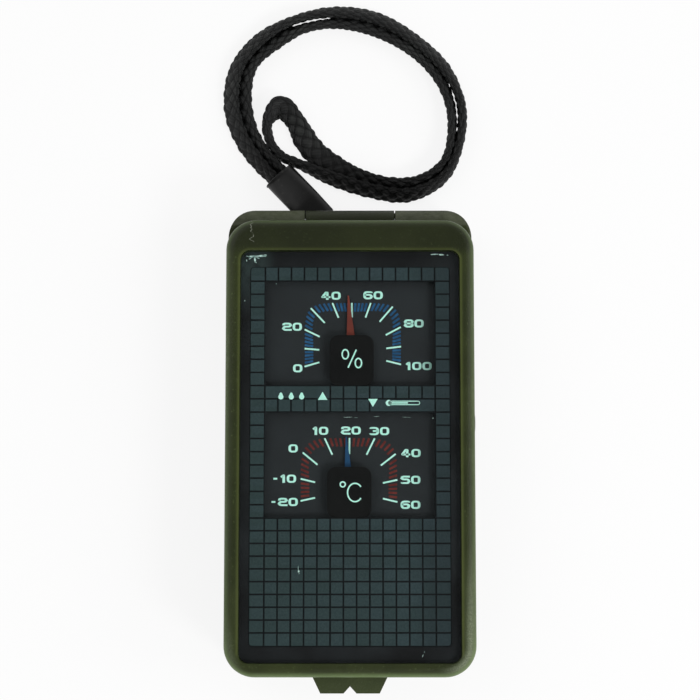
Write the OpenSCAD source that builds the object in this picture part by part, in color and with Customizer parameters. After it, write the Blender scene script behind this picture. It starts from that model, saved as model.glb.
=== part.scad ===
// Pocket survival compass with a hinged lid that carries a hygrometer and a thermometer.
// Millimetres. The object lies on its back: z = 0 is the back face and the dials look up +Z.
// The hinge and the lanyard are at +Y, the sighting tab is at -Y.

/* [Case] */
// Width across the case
case_w = 60; // [57:0.5:66]
// Length of the base from its hinge end to its free end
case_l = 113.9; // [112:0.1:122]
// Height of the base
case_h = 16; // [15.6:0.1:19]
// Plan radius of the four corners
corner_r = 7.4; // [6.6:0.1:8.4]
// Thickness of the side walls
wall_t = 2.2; // [1.8:0.1:2.5]
// Thickness of the floor
floor_t = 2.4; // [2.2:0.1:2.8]
// Rounding along the bottom edge
base_edge_r = 1.6; // [0.8:0.1:2]
// Thickness of the deck that closes the base
deck_t = 4; // [3.8:0.1:4.4]

/* [Hinge] */
// Radius of the hinge barrels
barrel_r = 3; // [2.6:0.1:3.4]
// Width of the lid's middle knuckle
knuckle_w = 21.9; // [16:0.1:28]
// Radius of the hinge pin
hinge_pin_r = 1; // [0.8:0.1:1.2]
// Length of the hinge pin
hinge_pin_l = 52; // [44:1:53]
// Distance from the base's hinge end to the lid's end
lid_setback = 4.3; // [3.6:0.1:4.8]

/* [Lid] */
// Height of the lid
lid_h = 9.6; // [9.4:0.1:12]
// Rounding along the lid's top edge
lid_edge_r = 2.4; // [1.2:0.1:2.6]
// Rim beside the window
rim_side = 3.55; // [3.2:0.05:4.2]
// Rim between the window and the hinge end
rim_hinge = 7.7; // [7:0.1:9]
// Rim between the window and the free end
rim_free = 3.3; // [3:0.1:4]
// Corner radius of the window
window_corner_r = 2.4; // [2:0.1:3]
// Thickness of the window
window_t = 1.5; // [1.2:0.1:1.8]
// Width of the ledge that the window is bonded to
window_ledge = 1.8; // [1.4:0.1:2]
// Thickness of the plate that closes the lid from inside
back_t = 1.8; // [1.7:0.1:2.2]
// Width of the signal mirror
mirror_w = 44; // [30:1:46]
// Length of the signal mirror
mirror_l = 64; // [40:1:80]

/* [Tab] */
// Reach of the sighting tab beyond the lid
tab_l = 4.1; // [3:0.1:6]
// Width of the tab where it leaves the lid
tab_root_w = 18.2; // [16:0.2:24]
// Width of the tab at its end
tab_end_w = 14.2; // [10:0.2:15]
// Thickness of the tab
tab_t = 3; // [2:0.1:4]
// Width of the sighting notch
notch_w = 3.1; // [2:0.1:5]
// Depth of the sighting notch
notch_d = 1.7; // [1:0.1:2.4]

/* [Dials] */
// Width of the openings over the dials
opening_w = 40.9; // [38:0.1:42]
// Length of the openings over the dials
opening_l = 25.3; // [24:0.1:27]
// Hygrometer opening's middle, from the lid's hinge end
hygro_opening_y = 27.7; // [27:0.1:29]
// Thermometer opening's middle, from the lid's hinge end
thermo_opening_y = 59.4; // [58.5:0.1:62]
// Height of the hygrometer's pivot over the near edge of its opening
hygro_pivot_h = 8; // [7.5:0.1:8.5]
// Height of the thermometer's pivot over the near edge of its opening
thermo_pivot_h = 6.7; // [6.5:0.1:8]
// Reach of the hygrometer's pointer
hygro_pointer_l = 14; // [10:0.1:15]
// Reach of the thermometer's pointer
thermo_pointer_l = 12.8; // [10:0.1:15]
// Width of the covers over the pivots
cover_w = 10.6; // [9:0.1:12]
// Length of the covers over the pivots
cover_l = 12.2; // [11.4:0.1:13]
// Direction of the hygrometer's pointer at rest, counted from +X
hygro_rest = 93.3; // [0:0.1:180]
// Direction of the thermometer's pointer at rest, counted from +X
thermo_rest = 93.2; // [0:0.1:180]

/* [Compass] */
// Distance from the base's hinge end to the compass's pivot
compass_inset = 42; // [40:0.5:44]
// Radius of the liquid capsule
capsule_r = 20.8; // [19:0.1:21.4]
// Wall of the capsule
capsule_t = 1.4; // [1:0.1:1.8]
// Width of the turning azimuth ring
ring_w = 3.1; // [2.6:0.1:3.4]
// Radius of the card
card_r = 18.4; // [15:0.1:18.8]
// Number of grip notches round the azimuth ring
ring_notches = 36; // [12:1:48]

/* [Magnifier] */
// Radius of the magnifier's lens
lens_r = 10.4; // [9:0.1:10.8]
// Width of the ring that holds the lens
lens_rim = 1.9; // [1.6:0.1:2.2]
// Distance from the magnifier's pivot to the middle of its lens
lens_reach = 22.5; // [21.8:0.1:24]
// Direction of the stored magnifier, counted from +X
magnifier_rest = 65.6; // [64:0.1:67]
// Thickness of the magnifier's frame
magnifier_t = 2.6; // [2.2:0.1:2.8]
// Radius of the magnifier's pin
magnifier_pin_r = 1.5; // [1.2:0.1:1.6]

/* [Light] */
// Radius of the light's clear front
light_r = 4; // [3.4:0.1:4.2]
// Radius of the coin cell
cell_r = 10; // [9:0.1:10.2]
// Thickness of the coin cell
cell_t = 3.2; // [2.6:0.1:3.2]
// Length of the push button in the side wall
button_l = 4.25; // [4:0.05:6]
// Height of the push button
button_h = 3.6; // [3:0.1:3.9]
// How far the button stands out of the wall
button_out = 1; // [0.7:0.05:1.2]
// Travel of the button
button_travel = 0.6; // [0.3:0.1:0.6]

/* [Lanyard] */
// Width of the slot in the hinge end that holds the lanyard bar
slot_w = 29; // [26:1:34]
// Height of that slot
slot_h = 3.9; // [3.8:0.05:3.95]
// Radius of the lanyard bar
bar_r = 0.8; // [0.6:0.05:0.8]
// Width of the lanyard's sleeve
sleeve_w = 7.8; // [6:0.1:8]
// Width of the flat cord
cord_w = 5; // [4:0.1:5.4]
// Thickness of the flat cord
cord_t = 2.3; // [1.8:0.1:2.4]

/* [Hidden] */
$fn = 64;

olive = "#3b3f2c";
olive_light = "#454a35";
black = "#1e1f20";
dial_black = "#2a2d30";
steel = "#a9adb0";
brass = "#b79a55";
clear = [0.85, 0.93, 0.95, 0.35];
fiberboard = "#1f4a35";

fit = 0.05;          // gap of a part that sits still in its seat
run = 0.05;          // radial gap of a turning fit
play = 0.3;          // gap beside a moving part
past = 1;            // how far a cut runs past the surface that it opens

// Places along the case
total_l = case_l + tab_l;
y_hinge_end = total_l / 2;
y_free = y_hinge_end - case_l;
y_lid_end = y_hinge_end - lid_setback;
hinge_y = y_hinge_end - barrel_r;
hinge_z = case_h - barrel_r;
deck_z = case_h - deck_t;
cavity_r = corner_r - wall_t;
hinge_block = 9.7;   // solid end that carries the hinge and the lanyard slot
cavity_y0 = y_free + wall_t;
cavity_y1 = y_hinge_end - hinge_block;

// Heights in the lid
lid_gap = 0.3;
lid_z = case_h + lid_gap;
lid_top = lid_z + lid_h;
window_sink = 0.1;
window_z = lid_top - window_sink - window_t;
face_t = 0.8;
face_z = window_z - face_t;
dial_t = 0.6;
dial_drop = 1.3;
dial_z = face_z - dial_drop - dial_t;
pointer_t = 0.3;
pointer_z = dial_z + dial_t + 0.35;
cover_z = pointer_z + pointer_t + 0.35;
cover_top = window_z - 0.1;
back_top = lid_z + back_t;

// Plans in the lid
window_w = case_w - 2 * rim_side;
window_y0 = y_free + rim_free;
window_y1 = y_lid_end - rim_hinge;
well_w = window_w - 2 * window_ledge;
well_y0 = window_y0 + window_ledge;
well_y1 = window_y1 - window_ledge;
well_r = 2;
back_margin = 2;
back_w = case_w - 2 * back_margin;
back_y0 = y_free + back_margin;
back_y1 = y_lid_end - 5;
back_r = corner_r - back_margin;
mirror_t = 1.1;
mirror_y = (window_y0 + window_y1) / 2;
lid_screw_x = back_w / 2 - 1.9;
lid_screw_y = [back_y0 + 6, back_y1 - 6];
lid_screw_head_r = 1.5;
lid_screw_r = 0.75;
lid_screw_l = 4.5;

// Squares of the face plate, in rows that line up with the openings
face_columns = 13;   // squares across an opening
face_rows = 8;       // rows beside an opening
face_free_rows = 10; // rows between the thermometer and the free end
face_r = 0.7;
face_x = well_w / 2 - 0.75;
face_y0 = well_y0 + 2.35;
face_y1 = well_y1 - 2.25;
groove_w = 0.4;
groove_d = 0.25;

// Dials: opening's middle and pivot, in the case's frame
hygro_c = y_lid_end - hygro_opening_y;
thermo_c = y_lid_end - thermo_opening_y;
hygro_at = [0.4, hygro_c - opening_l / 2 + hygro_pivot_h];
thermo_at = [-0.2, thermo_c - opening_l / 2 + thermo_pivot_h];
dial_lap = 1.6;      // how far a dial reaches under the face plate
pointer_tail = 3;
pointer_tip = 0.3;
pointer_hub_r = 1.6;
hygro_pointer_w = 2.6;
thermo_pointer_w = 2.4;
pillar_r = 1.4;
staff_r = 0.5;
collet_r = 1.5;
bearing_h = 1.2;
coil_in = collet_r + 0.05;
coil_pitch = 1.35;
coil_turns = 4;
coil_w = 0.3;
coil_h = 2;
coil_z = back_top + 0.3;
coil_out = coil_in + coil_pitch * coil_turns;
anchor_w = 1;
anchor_l = 1.4;

// Compass
compass_y = y_hinge_end - compass_inset;
ring_in = capsule_r + run;
ring_out = ring_in + ring_w;
ring_lip = 0.6;
ring_lip_h = 0.8;
ring_floor = 0.8;
ring_z = deck_z + ring_floor + play;
ring_top = case_h - 0.1;
cup_z = floor_t + 2;
cup_floor = 1.2;
cup_top = ring_top - 1.9;
capsule_lens_t = 1.2;
card_z = cup_z + 5.2;
card_t = 0.6;
magnet_x = 4.2;
magnet_w = 3;
magnet_l = 22;
magnet_h = 1.5;
jewel_r = 1.6;
jewel_bore_r = 0.9;
jewel_z = card_z - 0.8;
jewel_top = card_z + 1.2;
jewel_depth = 1.2;
pivot_r = 0.6;
pivot_cone = 0.9;
pivot_gap = 0.05;

// Magnifier
post_inset = 5.5;
post_x = case_w / 2 - post_inset;
pivot_x = -post_x;
pivot_y = y_free + corner_r;
lens_at = [pivot_x + lens_reach * cos(magnifier_rest), pivot_y + lens_reach * sin(magnifier_rest)];
lens_frame_r = lens_r + lens_rim;
hub_r = 4.6;
neck_w = 8;
magnifier_gap = 0.5;
pocket_floor = 1;
pocket_z = deck_z + pocket_floor;
magnifier_z = pocket_z + play;
sweep_r = lens_reach + lens_frame_r + magnifier_gap;
lens_bulge = 0.65;
pin_head_r = 2.5;
pin_head_h = 0.7;
pin_seat = 2.6;

// Screw posts of the base and bosses of the deck, which meet at split_z
post_y = [pivot_y, cavity_y1 - 4.5];
case_post_r = 3;
split_z = floor_t + 4;
case_screw_r = 1;
case_head_r = 2.2;
case_head_top = floor_t - 0.4;
case_screw_top = split_z + 2.6;

// Light and its supply
board_z = floor_t + 3.8;
board_t = 1;
board_x0 = 2;
board_x1 = 19.4;
board_x2 = case_w / 2 - 4;
board_y0 = y_free + 8.9;
board_y1 = compass_y - 23;
arm_x0 = capsule_r + 0.6;
arm_y1 = compass_y - 5;
board_post_r = 1.4;
bulb_x = 11;
bulb_z = board_z + board_t / 2;
bulb_r = 2.5;
bulb_flange_r = 2.9;
bulb_flange_t = 1;
cell_at = [11, y_free + 26.9];
door_w = 26;
door_l = 30;
door_t = floor_t - 1;
door_r = 2;
door_screw_at = [cell_at[0], cell_at[1] + door_l / 2 - 2.4];
door_screw_r = 0.9;
door_head_r = 2;
door_head_t = 0.9;
cell_z = door_t + 0.4;
cell_step = 1;
cell_step_h = 0.4;
well_gap = 0.4;
contact_t = 0.3;
contact_w = 6;
contact_y = [-4, 5, 9];
contact_door_r = 6;
button_y = compass_y - 10.7;
button_z = board_z + board_t + 1.5;
switch_l = 5;
switch_h = 3;
switch_x0 = board_x2 - 4;
switch_x1 = board_x2;
plunger_r = 1;
button_flange_t = 0.8;
wall_in = case_w / 2 - wall_t;

// Whistle in the free end
whistle_x = -10.5;
whistle_w = 14;
whistle_l = 18;
whistle_h = 7.4;
mouth_w = 9;
mouth_h = 1.8;

// Lanyard
slot_z = 3.2;
bar_y = y_hinge_end - 5.8;
bar_z = slot_z + slot_h / 2;
bar_l = slot_w - 2;
tether_r = 0.5;
tether_gap = 0.05;
tether_turn = bar_r + tether_gap + tether_r;
slot_back = bar_y - tether_turn - tether_r - 0.15;
sleeve_head = [-18, 70, 2.75];
sleeve_foot = [-7, y_hinge_end - 1.2, bar_z];
sleeve_head_t = 5.4;
sleeve_foot_t = slot_h - 0.7;
sleeve_level = 0.38;  // share of the sleeve, from its foot, that stays level with the slot
sleeve_turn = atan2(sleeve_foot[0] - sleeve_head[0], sleeve_head[1] - sleeve_foot[1]);

// Middle line of the lanyard, seen from above: out of the sleeve along the outer strand,
// clockwise to the eye, and back along the inner strand into the sleeve. The third value
// turns the flat cord from standing on its edge (0) to lying on its face (1).
cord_route = [
    [-17.4, 67.2, 0], [-23.1, 72.2, 0], [-27.9, 79, 0], [-30.6, 88, 0], [-29.4, 98, 0],
    [-23, 106, 0], [-14, 111, 0], [-4, 113, 0], [7, 111.5, 0], [17, 105.8, 0],
    [24.6, 98, 0], [28.4, 88.5, 0], [28, 78.6, 0], [23.5, 70.2, 0], [15, 65.2, 0],
    [5.5, 65.4, 0], [-4, 68.8, 0], [-12, 72.3, 0], [-17.8, 75.2, 0], [-21, 79.6, 0],
    [-21, 84.6, 0.4], [-18, 87.6, 0.9], [-14.4, 84.4, 1], [-11.6, 79.4, 1], [-7, 75.2, 0.5],
    [1, 71, 0], [9.5, 68.2, 0], [17.4, 69.3, 0], [22.7, 75.2, 0], [25.5, 84, 0],
    [24, 92.8, 0], [18.7, 100.4, 0], [10.5, 106.4, 0], [0.5, 109.8, 0], [-9.5, 109.1, 0],
    [-18.2, 105.5, 0], [-25, 99, 0], [-27.3, 90, 0], [-25.5, 81, 0], [-21, 74.5, 0],
    [-15.3, 69.5, 0]
];
cord_steps = 2;
cord_rest = 0.05;    // height of the cord over the table

// Plan shapes

module outline(w, y0, y1, r) {
    translate([-w / 2 + r, y0]) square([w - 2 * r, y1 - y0]);
    translate([-w / 2, y0 + r]) square([w, y1 - y0 - 2 * r]);
    for (x = [-w / 2 + r, w / 2 - r], y = [y0 + r, y1 - r])
        translate([x, y]) circle(r);
}

module plate(w, y0, y1, r, z, h) {
    translate([0, 0, z]) linear_extrude(h) outline(w, y0, y1, r);
}

// Half of a slab's section, from its middle out to reach, with round top and bottom edges
module edge_section(reach, h, top_r, bottom_r) {
    translate([0, bottom_r]) square([reach, h - top_r - bottom_r]);
    if (top_r > 0) {
        translate([0, h - top_r]) square([reach - top_r, top_r]);
        translate([reach - top_r, h - top_r]) circle(top_r);
    }
    if (bottom_r > 0) {
        square([reach - bottom_r, bottom_r]);
        translate([reach - bottom_r, bottom_r]) circle(bottom_r);
    }
}

module run_section(width, h, top_r, bottom_r) {
    edge_section(width / 2, h, top_r, bottom_r);
    mirror([1, 0]) edge_section(width / 2, h, top_r, bottom_r);
}

// A slab with round corners in plan and round edges above and below
module soft_slab(w, y0, y1, r, z, h, top_r, bottom_r) {
    corners = [[w / 2 - r, y1 - r, 0], [r - w / 2, y1 - r, 90], [r - w / 2, y0 + r, 180], [w / 2 - r, y0 + r, 270]];
    translate([0, 0, z]) {
        translate([0, y1 - r, 0]) rotate([90, 0, 0])
            linear_extrude(y1 - y0 - 2 * r) run_section(w, h, top_r, bottom_r);
        translate([r - w / 2, (y0 + y1) / 2, 0]) rotate([90, 0, 90])
            linear_extrude(w - 2 * r) run_section(y1 - y0, h, top_r, bottom_r);
        for (c = corners) translate([c[0], c[1], 0]) rotate([0, 0, c[2]])
            rotate_extrude(angle = 90) edge_section(r, h, top_r, bottom_r);
    }
}

module post(x, y, r, z, h) {
    translate([x, y, z]) cylinder(r = r, h = h);
}

module across(x, y, z, r, l) {
    translate([x, y, z]) rotate([0, 90, 0]) cylinder(r = r, h = l);
}

module box(x0, x1, y0, y1, z0, z1) {
    translate([x0, y0, z0]) cube([x1 - x0, y1 - y0, z1 - z0]);
}

// A bar with round ends, lying along X, its section in the XZ plane of the wall
module obround(l, h) {
    translate([-(l - h) / 2, -h / 2]) square([l - h, h]);
    for (x = [-(l - h) / 2, (l - h) / 2]) translate([x, 0]) circle(h / 2);
}

// Base

module hinge_rounding() {
    difference() {
        box(-case_w / 2 - past, case_w / 2 + past, hinge_y, y_hinge_end + past, hinge_z, case_h + past);
        across(-case_w / 2 - 2 * past, hinge_y, hinge_z, barrel_r, case_w + 4 * past);
    }
}

module knuckle_room() {
    half = knuckle_w / 2 + play;
    box(-half, half, hinge_y - barrel_r - play, y_hinge_end + past, hinge_z - barrel_r - play, case_h + past);
}

module magnifier_sweep(z, h) {
    translate([pivot_x, pivot_y, z]) {
        rotate([0, 0, magnifier_rest]) rotate_extrude(angle = 180 - magnifier_rest) square([sweep_r, h]);
        cylinder(r = hub_r + magnifier_gap, h = h);
        box(-case_w, 0, -neck_w / 2 - magnifier_gap, past, 0, h);
    }
}

module light_hole(r, y0, y1) {
    translate([bulb_x, y1, bulb_z]) rotate([90, 0, 0]) cylinder(r = r, h = y1 - y0);
}

module base_shell() {
    difference() {
        soft_slab(case_w, y_free, y_hinge_end, corner_r, 0, case_h, 0, base_edge_r);
        hinge_rounding();
        knuckle_room();
        across(-hinge_pin_l / 2, hinge_y, hinge_z, hinge_pin_r, hinge_pin_l);
        plate(case_w - 2 * wall_t, cavity_y0, cavity_y1, cavity_r, floor_t, case_h);
        magnifier_sweep(pocket_z, case_h);
        box(-slot_w / 2, slot_w / 2, slot_back, y_hinge_end + past, slot_z, slot_z + slot_h);
        light_hole(light_r, y_free - past, cavity_y0 + past);
        translate([wall_in - past, button_y, button_z]) rotate([90, 0, 90])
            linear_extrude(wall_t + 2 * past) obround(button_l + 2 * run, button_h + 2 * run);
        translate([cell_at[0], 0, 0])
            plate(door_w + 2 * fit, cell_at[1] - door_l / 2 - fit, cell_at[1] + door_l / 2 + fit,
                  door_r, -past, door_t + past);
        post(cell_at[0], cell_at[1], cell_r + well_gap, -past, floor_t + 2 * past);
        box(whistle_x - whistle_w / 2, whistle_x + whistle_w / 2, y_free - past, cavity_y0 + past,
            floor_t, floor_t + whistle_h);
    }
}

module base_inside() {
    for (x = [-post_x, post_x], y = post_y) post(x, y, case_post_r, floor_t - fit, split_z - floor_t + fit);
    // Seat of the capsule
    translate([0, compass_y, floor_t - fit]) difference() {
        cylinder(r = capsule_r - 2, h = cup_z - floor_t + fit);
        translate([0, 0, -past]) cylinder(r = capsule_r - 4, h = cup_z + 2 * past);
    }
    // Wall round the coin cell
    translate([cell_at[0], cell_at[1], floor_t - fit]) difference() {
        cylinder(r = cell_r + well_gap + 1.2, h = 2.2 + fit);
        translate([0, 0, -past]) cylinder(r = cell_r + well_gap, h = 2.2 + 3 * past);
    }
    post(door_screw_at[0], door_screw_at[1], 2.3, floor_t - fit, 3 + fit);
    for (p = board_posts()) post(p[0], p[1], board_post_r, floor_t - fit, board_z - floor_t + fit);
}

function board_posts() = [
    [board_x0 + 2, board_y0 + 1.5], [board_x0 + 2, board_y1 - 3],
    [board_x2 - 2, board_y1 - 3], [board_x2 - 2, arm_y1 - 2]
];

module base_case() {
    color(olive) difference() {
        union() {
            base_shell();
            base_inside();
        }
        for (x = [-post_x, post_x], y = post_y) {
            post(x, y, case_head_r + 0.2, -past, case_head_top + past);
            post(x, y, case_screw_r + 0.1, 0, split_z + past);
        }
        post(door_screw_at[0], door_screw_at[1], door_screw_r, 0, floor_t + 2.6);
        across(-bar_l / 2 - 2, bar_y, bar_z, bar_r, bar_l + 4);
    }
}

module deck() {
    color(olive_light) difference() {
        union() {
            plate(case_w - 2 * wall_t - 2 * fit, cavity_y0 + fit, cavity_y1 - fit, cavity_r, deck_z, deck_t);
            for (x = [-post_x, post_x], y = post_y) post(x, y, case_post_r, split_z, deck_z - split_z + fit);
        }
        // Seat of the capsule and undercut pocket of the azimuth ring
        post(0, compass_y, capsule_r, deck_z - past, deck_t + 2 * past);
        post(0, compass_y, ring_out + play, deck_z + ring_floor, deck_t);
        post(0, compass_y, ring_out + ring_lip + play, deck_z + ring_floor, ring_lip_h + 2 * play);
        magnifier_sweep(pocket_z, case_h);
        magnifier_plan(magnifier_gap, pocket_z, case_h);
        post(pivot_x, pivot_y, magnifier_pin_r, pocket_z - pin_seat, case_h);
        for (x = [-post_x, post_x], y = post_y)
            post(x, y, case_screw_r, split_z - past, case_screw_top - split_z + past + 0.2);
    }
}

module case_screws() {
    color(steel) for (x = [-post_x, post_x], y = post_y) difference() {
        union() {
            post(x, y, case_head_r, case_head_top - 1.5, 1.5);
            post(x, y, case_screw_r, case_head_top - fit, case_screw_top - case_head_top + fit);
        }
        translate([x, y, case_head_top - 1.5]) cross_recess(case_head_r);
    }
}

module cross_recess(r) {
    for (a = [0, 90]) rotate([0, 0, a]) cube([1.3 * r, 0.25 * r, 0.9], center = true);
}

module lanyard_bar() {
    color(steel) across(-bar_l / 2 - 2, bar_y, bar_z, bar_r, bar_l + 4);
}

module hinge_pin() {
    color(steel) across(-hinge_pin_l / 2, hinge_y, hinge_z, hinge_pin_r, hinge_pin_l);
}

// Compass

module capsule_cup() {
    color(clear) translate([0, compass_y, 0]) difference() {
        post(0, 0, capsule_r, cup_z, cup_top - cup_z);
        post(0, 0, capsule_r - capsule_t, cup_z + cup_floor, cup_top);
    }
}

module capsule_lens() {
    color(clear) post(0, compass_y, capsule_r, cup_top, capsule_lens_t);
}

module pivot_pin() {
    tip_z = jewel_z + jewel_depth - pivot_gap;
    foot_z = cup_z + cup_floor;
    color(steel) {
        post(0, compass_y, pivot_r, foot_z, tip_z - pivot_cone - foot_z);
        translate([0, compass_y, tip_z - pivot_cone - 0.001]) cylinder(r1 = pivot_r, r2 = 0.08, h = pivot_cone);
    }
}

module azimuth_ring() {
    notch_z = ring_z + ring_lip_h + play;
    color(black) translate([0, compass_y, 0]) difference() {
        union() {
            post(0, 0, ring_out, ring_z, ring_top - ring_z);
            post(0, 0, ring_out + ring_lip, ring_z, ring_lip_h);
        }
        post(0, 0, ring_in, ring_z - past, case_h);
        for (i = [0 : ring_notches - 1]) rotate([0, 0, i * 360 / ring_notches])
            post(ring_out + 0.1, 0, 0.55, notch_z, case_h);
    }
}

module compass_card() {
    color("#e8e8e0") difference() {
        post(0, compass_y, card_r, card_z, card_t);
        post(0, compass_y, jewel_r, card_z - past, card_t + 2 * past);
    }
}

module card_magnets() {
    color(steel) for (x = [-magnet_x, magnet_x])
        translate([x - magnet_w / 2, compass_y - magnet_l / 2, card_z - magnet_h])
            cube([magnet_w, magnet_l, magnet_h]);
}

module card_jewel() {
    color(brass) difference() {
        post(0, compass_y, jewel_r, jewel_z, jewel_top - jewel_z);
        post(0, compass_y, jewel_bore_r, jewel_z - past, jewel_depth + past);
    }
}

// Magnifier

module magnifier_plan(gap, z, h) {
    post(lens_at[0], lens_at[1], lens_frame_r + gap, z, h);
    post(pivot_x, pivot_y, hub_r + gap, z, h);
    translate([pivot_x, pivot_y, z]) rotate([0, 0, magnifier_rest])
        box(0, lens_reach, -neck_w / 2 - gap, neck_w / 2 + gap, 0, h);
}

module magnifier_frame() {
    top = magnifier_z + magnifier_t;
    color(black) difference() {
        magnifier_plan(0, magnifier_z, magnifier_t);
        post(lens_at[0], lens_at[1], lens_r, magnifier_z - past, case_h);
        post(pivot_x, pivot_y, magnifier_pin_r + run, magnifier_z - past, case_h);
        post(pivot_x, pivot_y, pin_head_r + 0.1, top - pin_head_h - 0.1, case_h);
    }
}

module magnifier_lens() {
    curve_r = (lens_r * lens_r + lens_bulge * lens_bulge) / (2 * lens_bulge);
    half_t = magnifier_t / 2 - 0.1;
    color(clear) translate([lens_at[0], lens_at[1], magnifier_z + magnifier_t / 2]) intersection() {
        translate([0, 0, half_t - curve_r]) sphere(r = curve_r, $fn = 200);
        translate([0, 0, curve_r - half_t]) sphere(r = curve_r, $fn = 200);
        cylinder(r = lens_r, h = magnifier_t, center = true);
    }
}

module magnifier_pin() {
    top = magnifier_z + magnifier_t - 0.05;
    foot = pocket_z - pin_seat;
    color(steel) {
        post(pivot_x, pivot_y, magnifier_pin_r, foot, top - foot);
        post(pivot_x, pivot_y, pin_head_r, top - pin_head_h, pin_head_h);
    }
}

// Light

module light_button() {
    flange_x = wall_in - fit - button_flange_t;
    color(black) translate([0, button_y, button_z]) {
        translate([flange_x, 0, 0]) rotate([90, 0, 90])
            linear_extrude(case_w / 2 + button_out - flange_x) obround(button_l, button_h);
        translate([flange_x, 0, 0]) rotate([90, 0, 90])
            linear_extrude(button_flange_t) obround(button_l + 1.4, button_h + 1.2);
    }
}

module switch_plunger() {
    plunger_x1 = wall_in - fit - button_flange_t;
    color("#cfcfc6") across(switch_x1 - 1.1, button_y, button_z, plunger_r, plunger_x1 - switch_x1 + 1.1);
}

module light_switch() {
    color("#2b2b2b") difference() {
        box(switch_x0, switch_x1, button_y - switch_l / 2, button_y + switch_l / 2,
            board_z + board_t, board_z + board_t + switch_h);
        across(switch_x1 - 1.9, button_y, button_z, plunger_r + run, 1.9 + past);
    }
}

module circuit_board() {
    color(fiberboard) {
        box(board_x0, board_x1, board_y0, board_y1, board_z, board_z + board_t);
        box(board_x1 - 1, board_x2, board_y0 + 4, board_y1, board_z, board_z + board_t);
        box(arm_x0, board_x2, board_y1 - 1, arm_y1, board_z, board_z + board_t);
    }
}

module light_bulb() {
    dome_y = cavity_y0 + 0.2 + bulb_r;
    color([0.9, 0.95, 1, 0.6]) {
        light_hole(bulb_r, dome_y, board_y0);
        light_hole(bulb_flange_r, board_y0 - bulb_flange_t, board_y0);
        translate([bulb_x, dome_y, bulb_z]) sphere(r = bulb_r);
    }
}

module light_lens() {
    color(clear) light_hole(light_r, y_free, cavity_y0);
}

module coin_cell() {
    color(steel) {
        post(cell_at[0], cell_at[1], cell_r - cell_step, cell_z, cell_step_h);
        post(cell_at[0], cell_at[1], cell_r, cell_z + cell_step_h - fit, cell_t - cell_step_h + fit);
    }
}

module cell_contact_top() {
    leaf_z = cell_z + cell_t;
    color(brass) translate([cell_at[0], cell_at[1], 0]) {
        box(-contact_w / 2, contact_w / 2, contact_y[0], contact_y[2], leaf_z, leaf_z + contact_t);
        box(-contact_w / 2, contact_w / 2, contact_y[1], contact_y[2], leaf_z, board_z);
    }
}

module cell_contact_door() {
    color(brass) post(cell_at[0], cell_at[1], contact_door_r, door_t, cell_z - door_t);
}

module battery_door() {
    color(olive) difference() {
        translate([cell_at[0], 0, 0])
            plate(door_w, cell_at[1] - door_l / 2, cell_at[1] + door_l / 2, door_r, 0, door_t);
        post(door_screw_at[0], door_screw_at[1], door_head_r + 0.1, -past, door_head_t + past);
        post(door_screw_at[0], door_screw_at[1], door_screw_r + 0.1, 0, door_t + past);
        // Grip lines
        for (i = [0 : 4]) box(cell_at[0] - 5, cell_at[0] + 5,
            cell_at[1] - door_l / 2 + 3 + 1.6 * i, cell_at[1] - door_l / 2 + 3.7 + 1.6 * i, -past, 0.4);
    }
}

module door_screw() {
    color(steel) translate([door_screw_at[0], door_screw_at[1], 0]) difference() {
        union() {
            post(0, 0, door_head_r, 0.1, door_head_t - 0.1);
            post(0, 0, door_screw_r, door_head_t - fit, floor_t + 2.4 - door_head_t);
        }
        translate([0, 0, 0.1]) cross_recess(door_head_r);
    }
}

module whistle() {
    top = floor_t + whistle_h;
    color(black) difference() {
        box(whistle_x - whistle_w / 2 + fit, whistle_x + whistle_w / 2 - fit, y_free, y_free + whistle_l,
            floor_t, top - fit);
        // Flat mouth and the chamber behind it
        box(whistle_x - mouth_w / 2, whistle_x + mouth_w / 2, y_free - past, y_free + 7,
            floor_t + whistle_h / 2, floor_t + whistle_h / 2 + mouth_h);
        translate([whistle_x - mouth_w / 2, y_free + 10.5, floor_t + whistle_h / 2 - 0.2]) rotate([0, 90, 0])
            cylinder(r = 3, h = mouth_w);
        box(whistle_x - mouth_w / 2, whistle_x + mouth_w / 2, y_free + 6.5, y_free + 9,
            floor_t + whistle_h / 2, top + past);
    }
}

// Lid

module tab() {
    translate([0, 0, lid_z]) linear_extrude(tab_t) polygon([
        [-tab_root_w / 2, y_free + corner_r / 2], [-tab_root_w / 2, y_free], [-tab_end_w / 2, y_free - tab_l],
        [-notch_w / 2, y_free - tab_l], [0, y_free - tab_l + notch_d], [notch_w / 2, y_free - tab_l],
        [tab_end_w / 2, y_free - tab_l], [tab_root_w / 2, y_free], [tab_root_w / 2, y_free + corner_r / 2]
    ]);
}

module knuckle_seat(gap) {
    half = knuckle_w / 2 + gap;
    box(-half, half, y_lid_end - 3.5 - gap, y_lid_end + (gap > 0 ? past : 0),
        lid_z - (gap > 0 ? past : 0), lid_z + 3 + gap);
}

module lid_frame() {
    color(olive) difference() {
        union() {
            soft_slab(case_w, y_free, y_lid_end, corner_r, lid_z, lid_h, lid_edge_r, 0.4);
            tab();
        }
        plate(window_w, window_y0, window_y1, window_corner_r, window_z, lid_h);
        plate(well_w, well_y0, well_y1, well_r, lid_z - past, lid_h);
        plate(back_w, back_y0, back_y1, back_r, lid_z - past, back_t + past);
        knuckle_seat(fit);
        for (x = [-lid_screw_x, lid_screw_x], y = lid_screw_y)
            post(x, y, lid_screw_r, back_top - past, lid_screw_l + past);
    }
}

module hinge_knuckle() {
    web_y0 = hinge_y - barrel_r + 0.2;
    color(olive) difference() {
        union() {
            knuckle_seat(0);
            box(-knuckle_w / 2, knuckle_w / 2, web_y0, y_lid_end, hinge_z, lid_z + fit);
            across(-knuckle_w / 2, hinge_y, hinge_z, barrel_r, knuckle_w);
        }
        across(-knuckle_w, hinge_y, hinge_z, hinge_pin_r + run, 2 * knuckle_w);
    }
}

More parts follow.
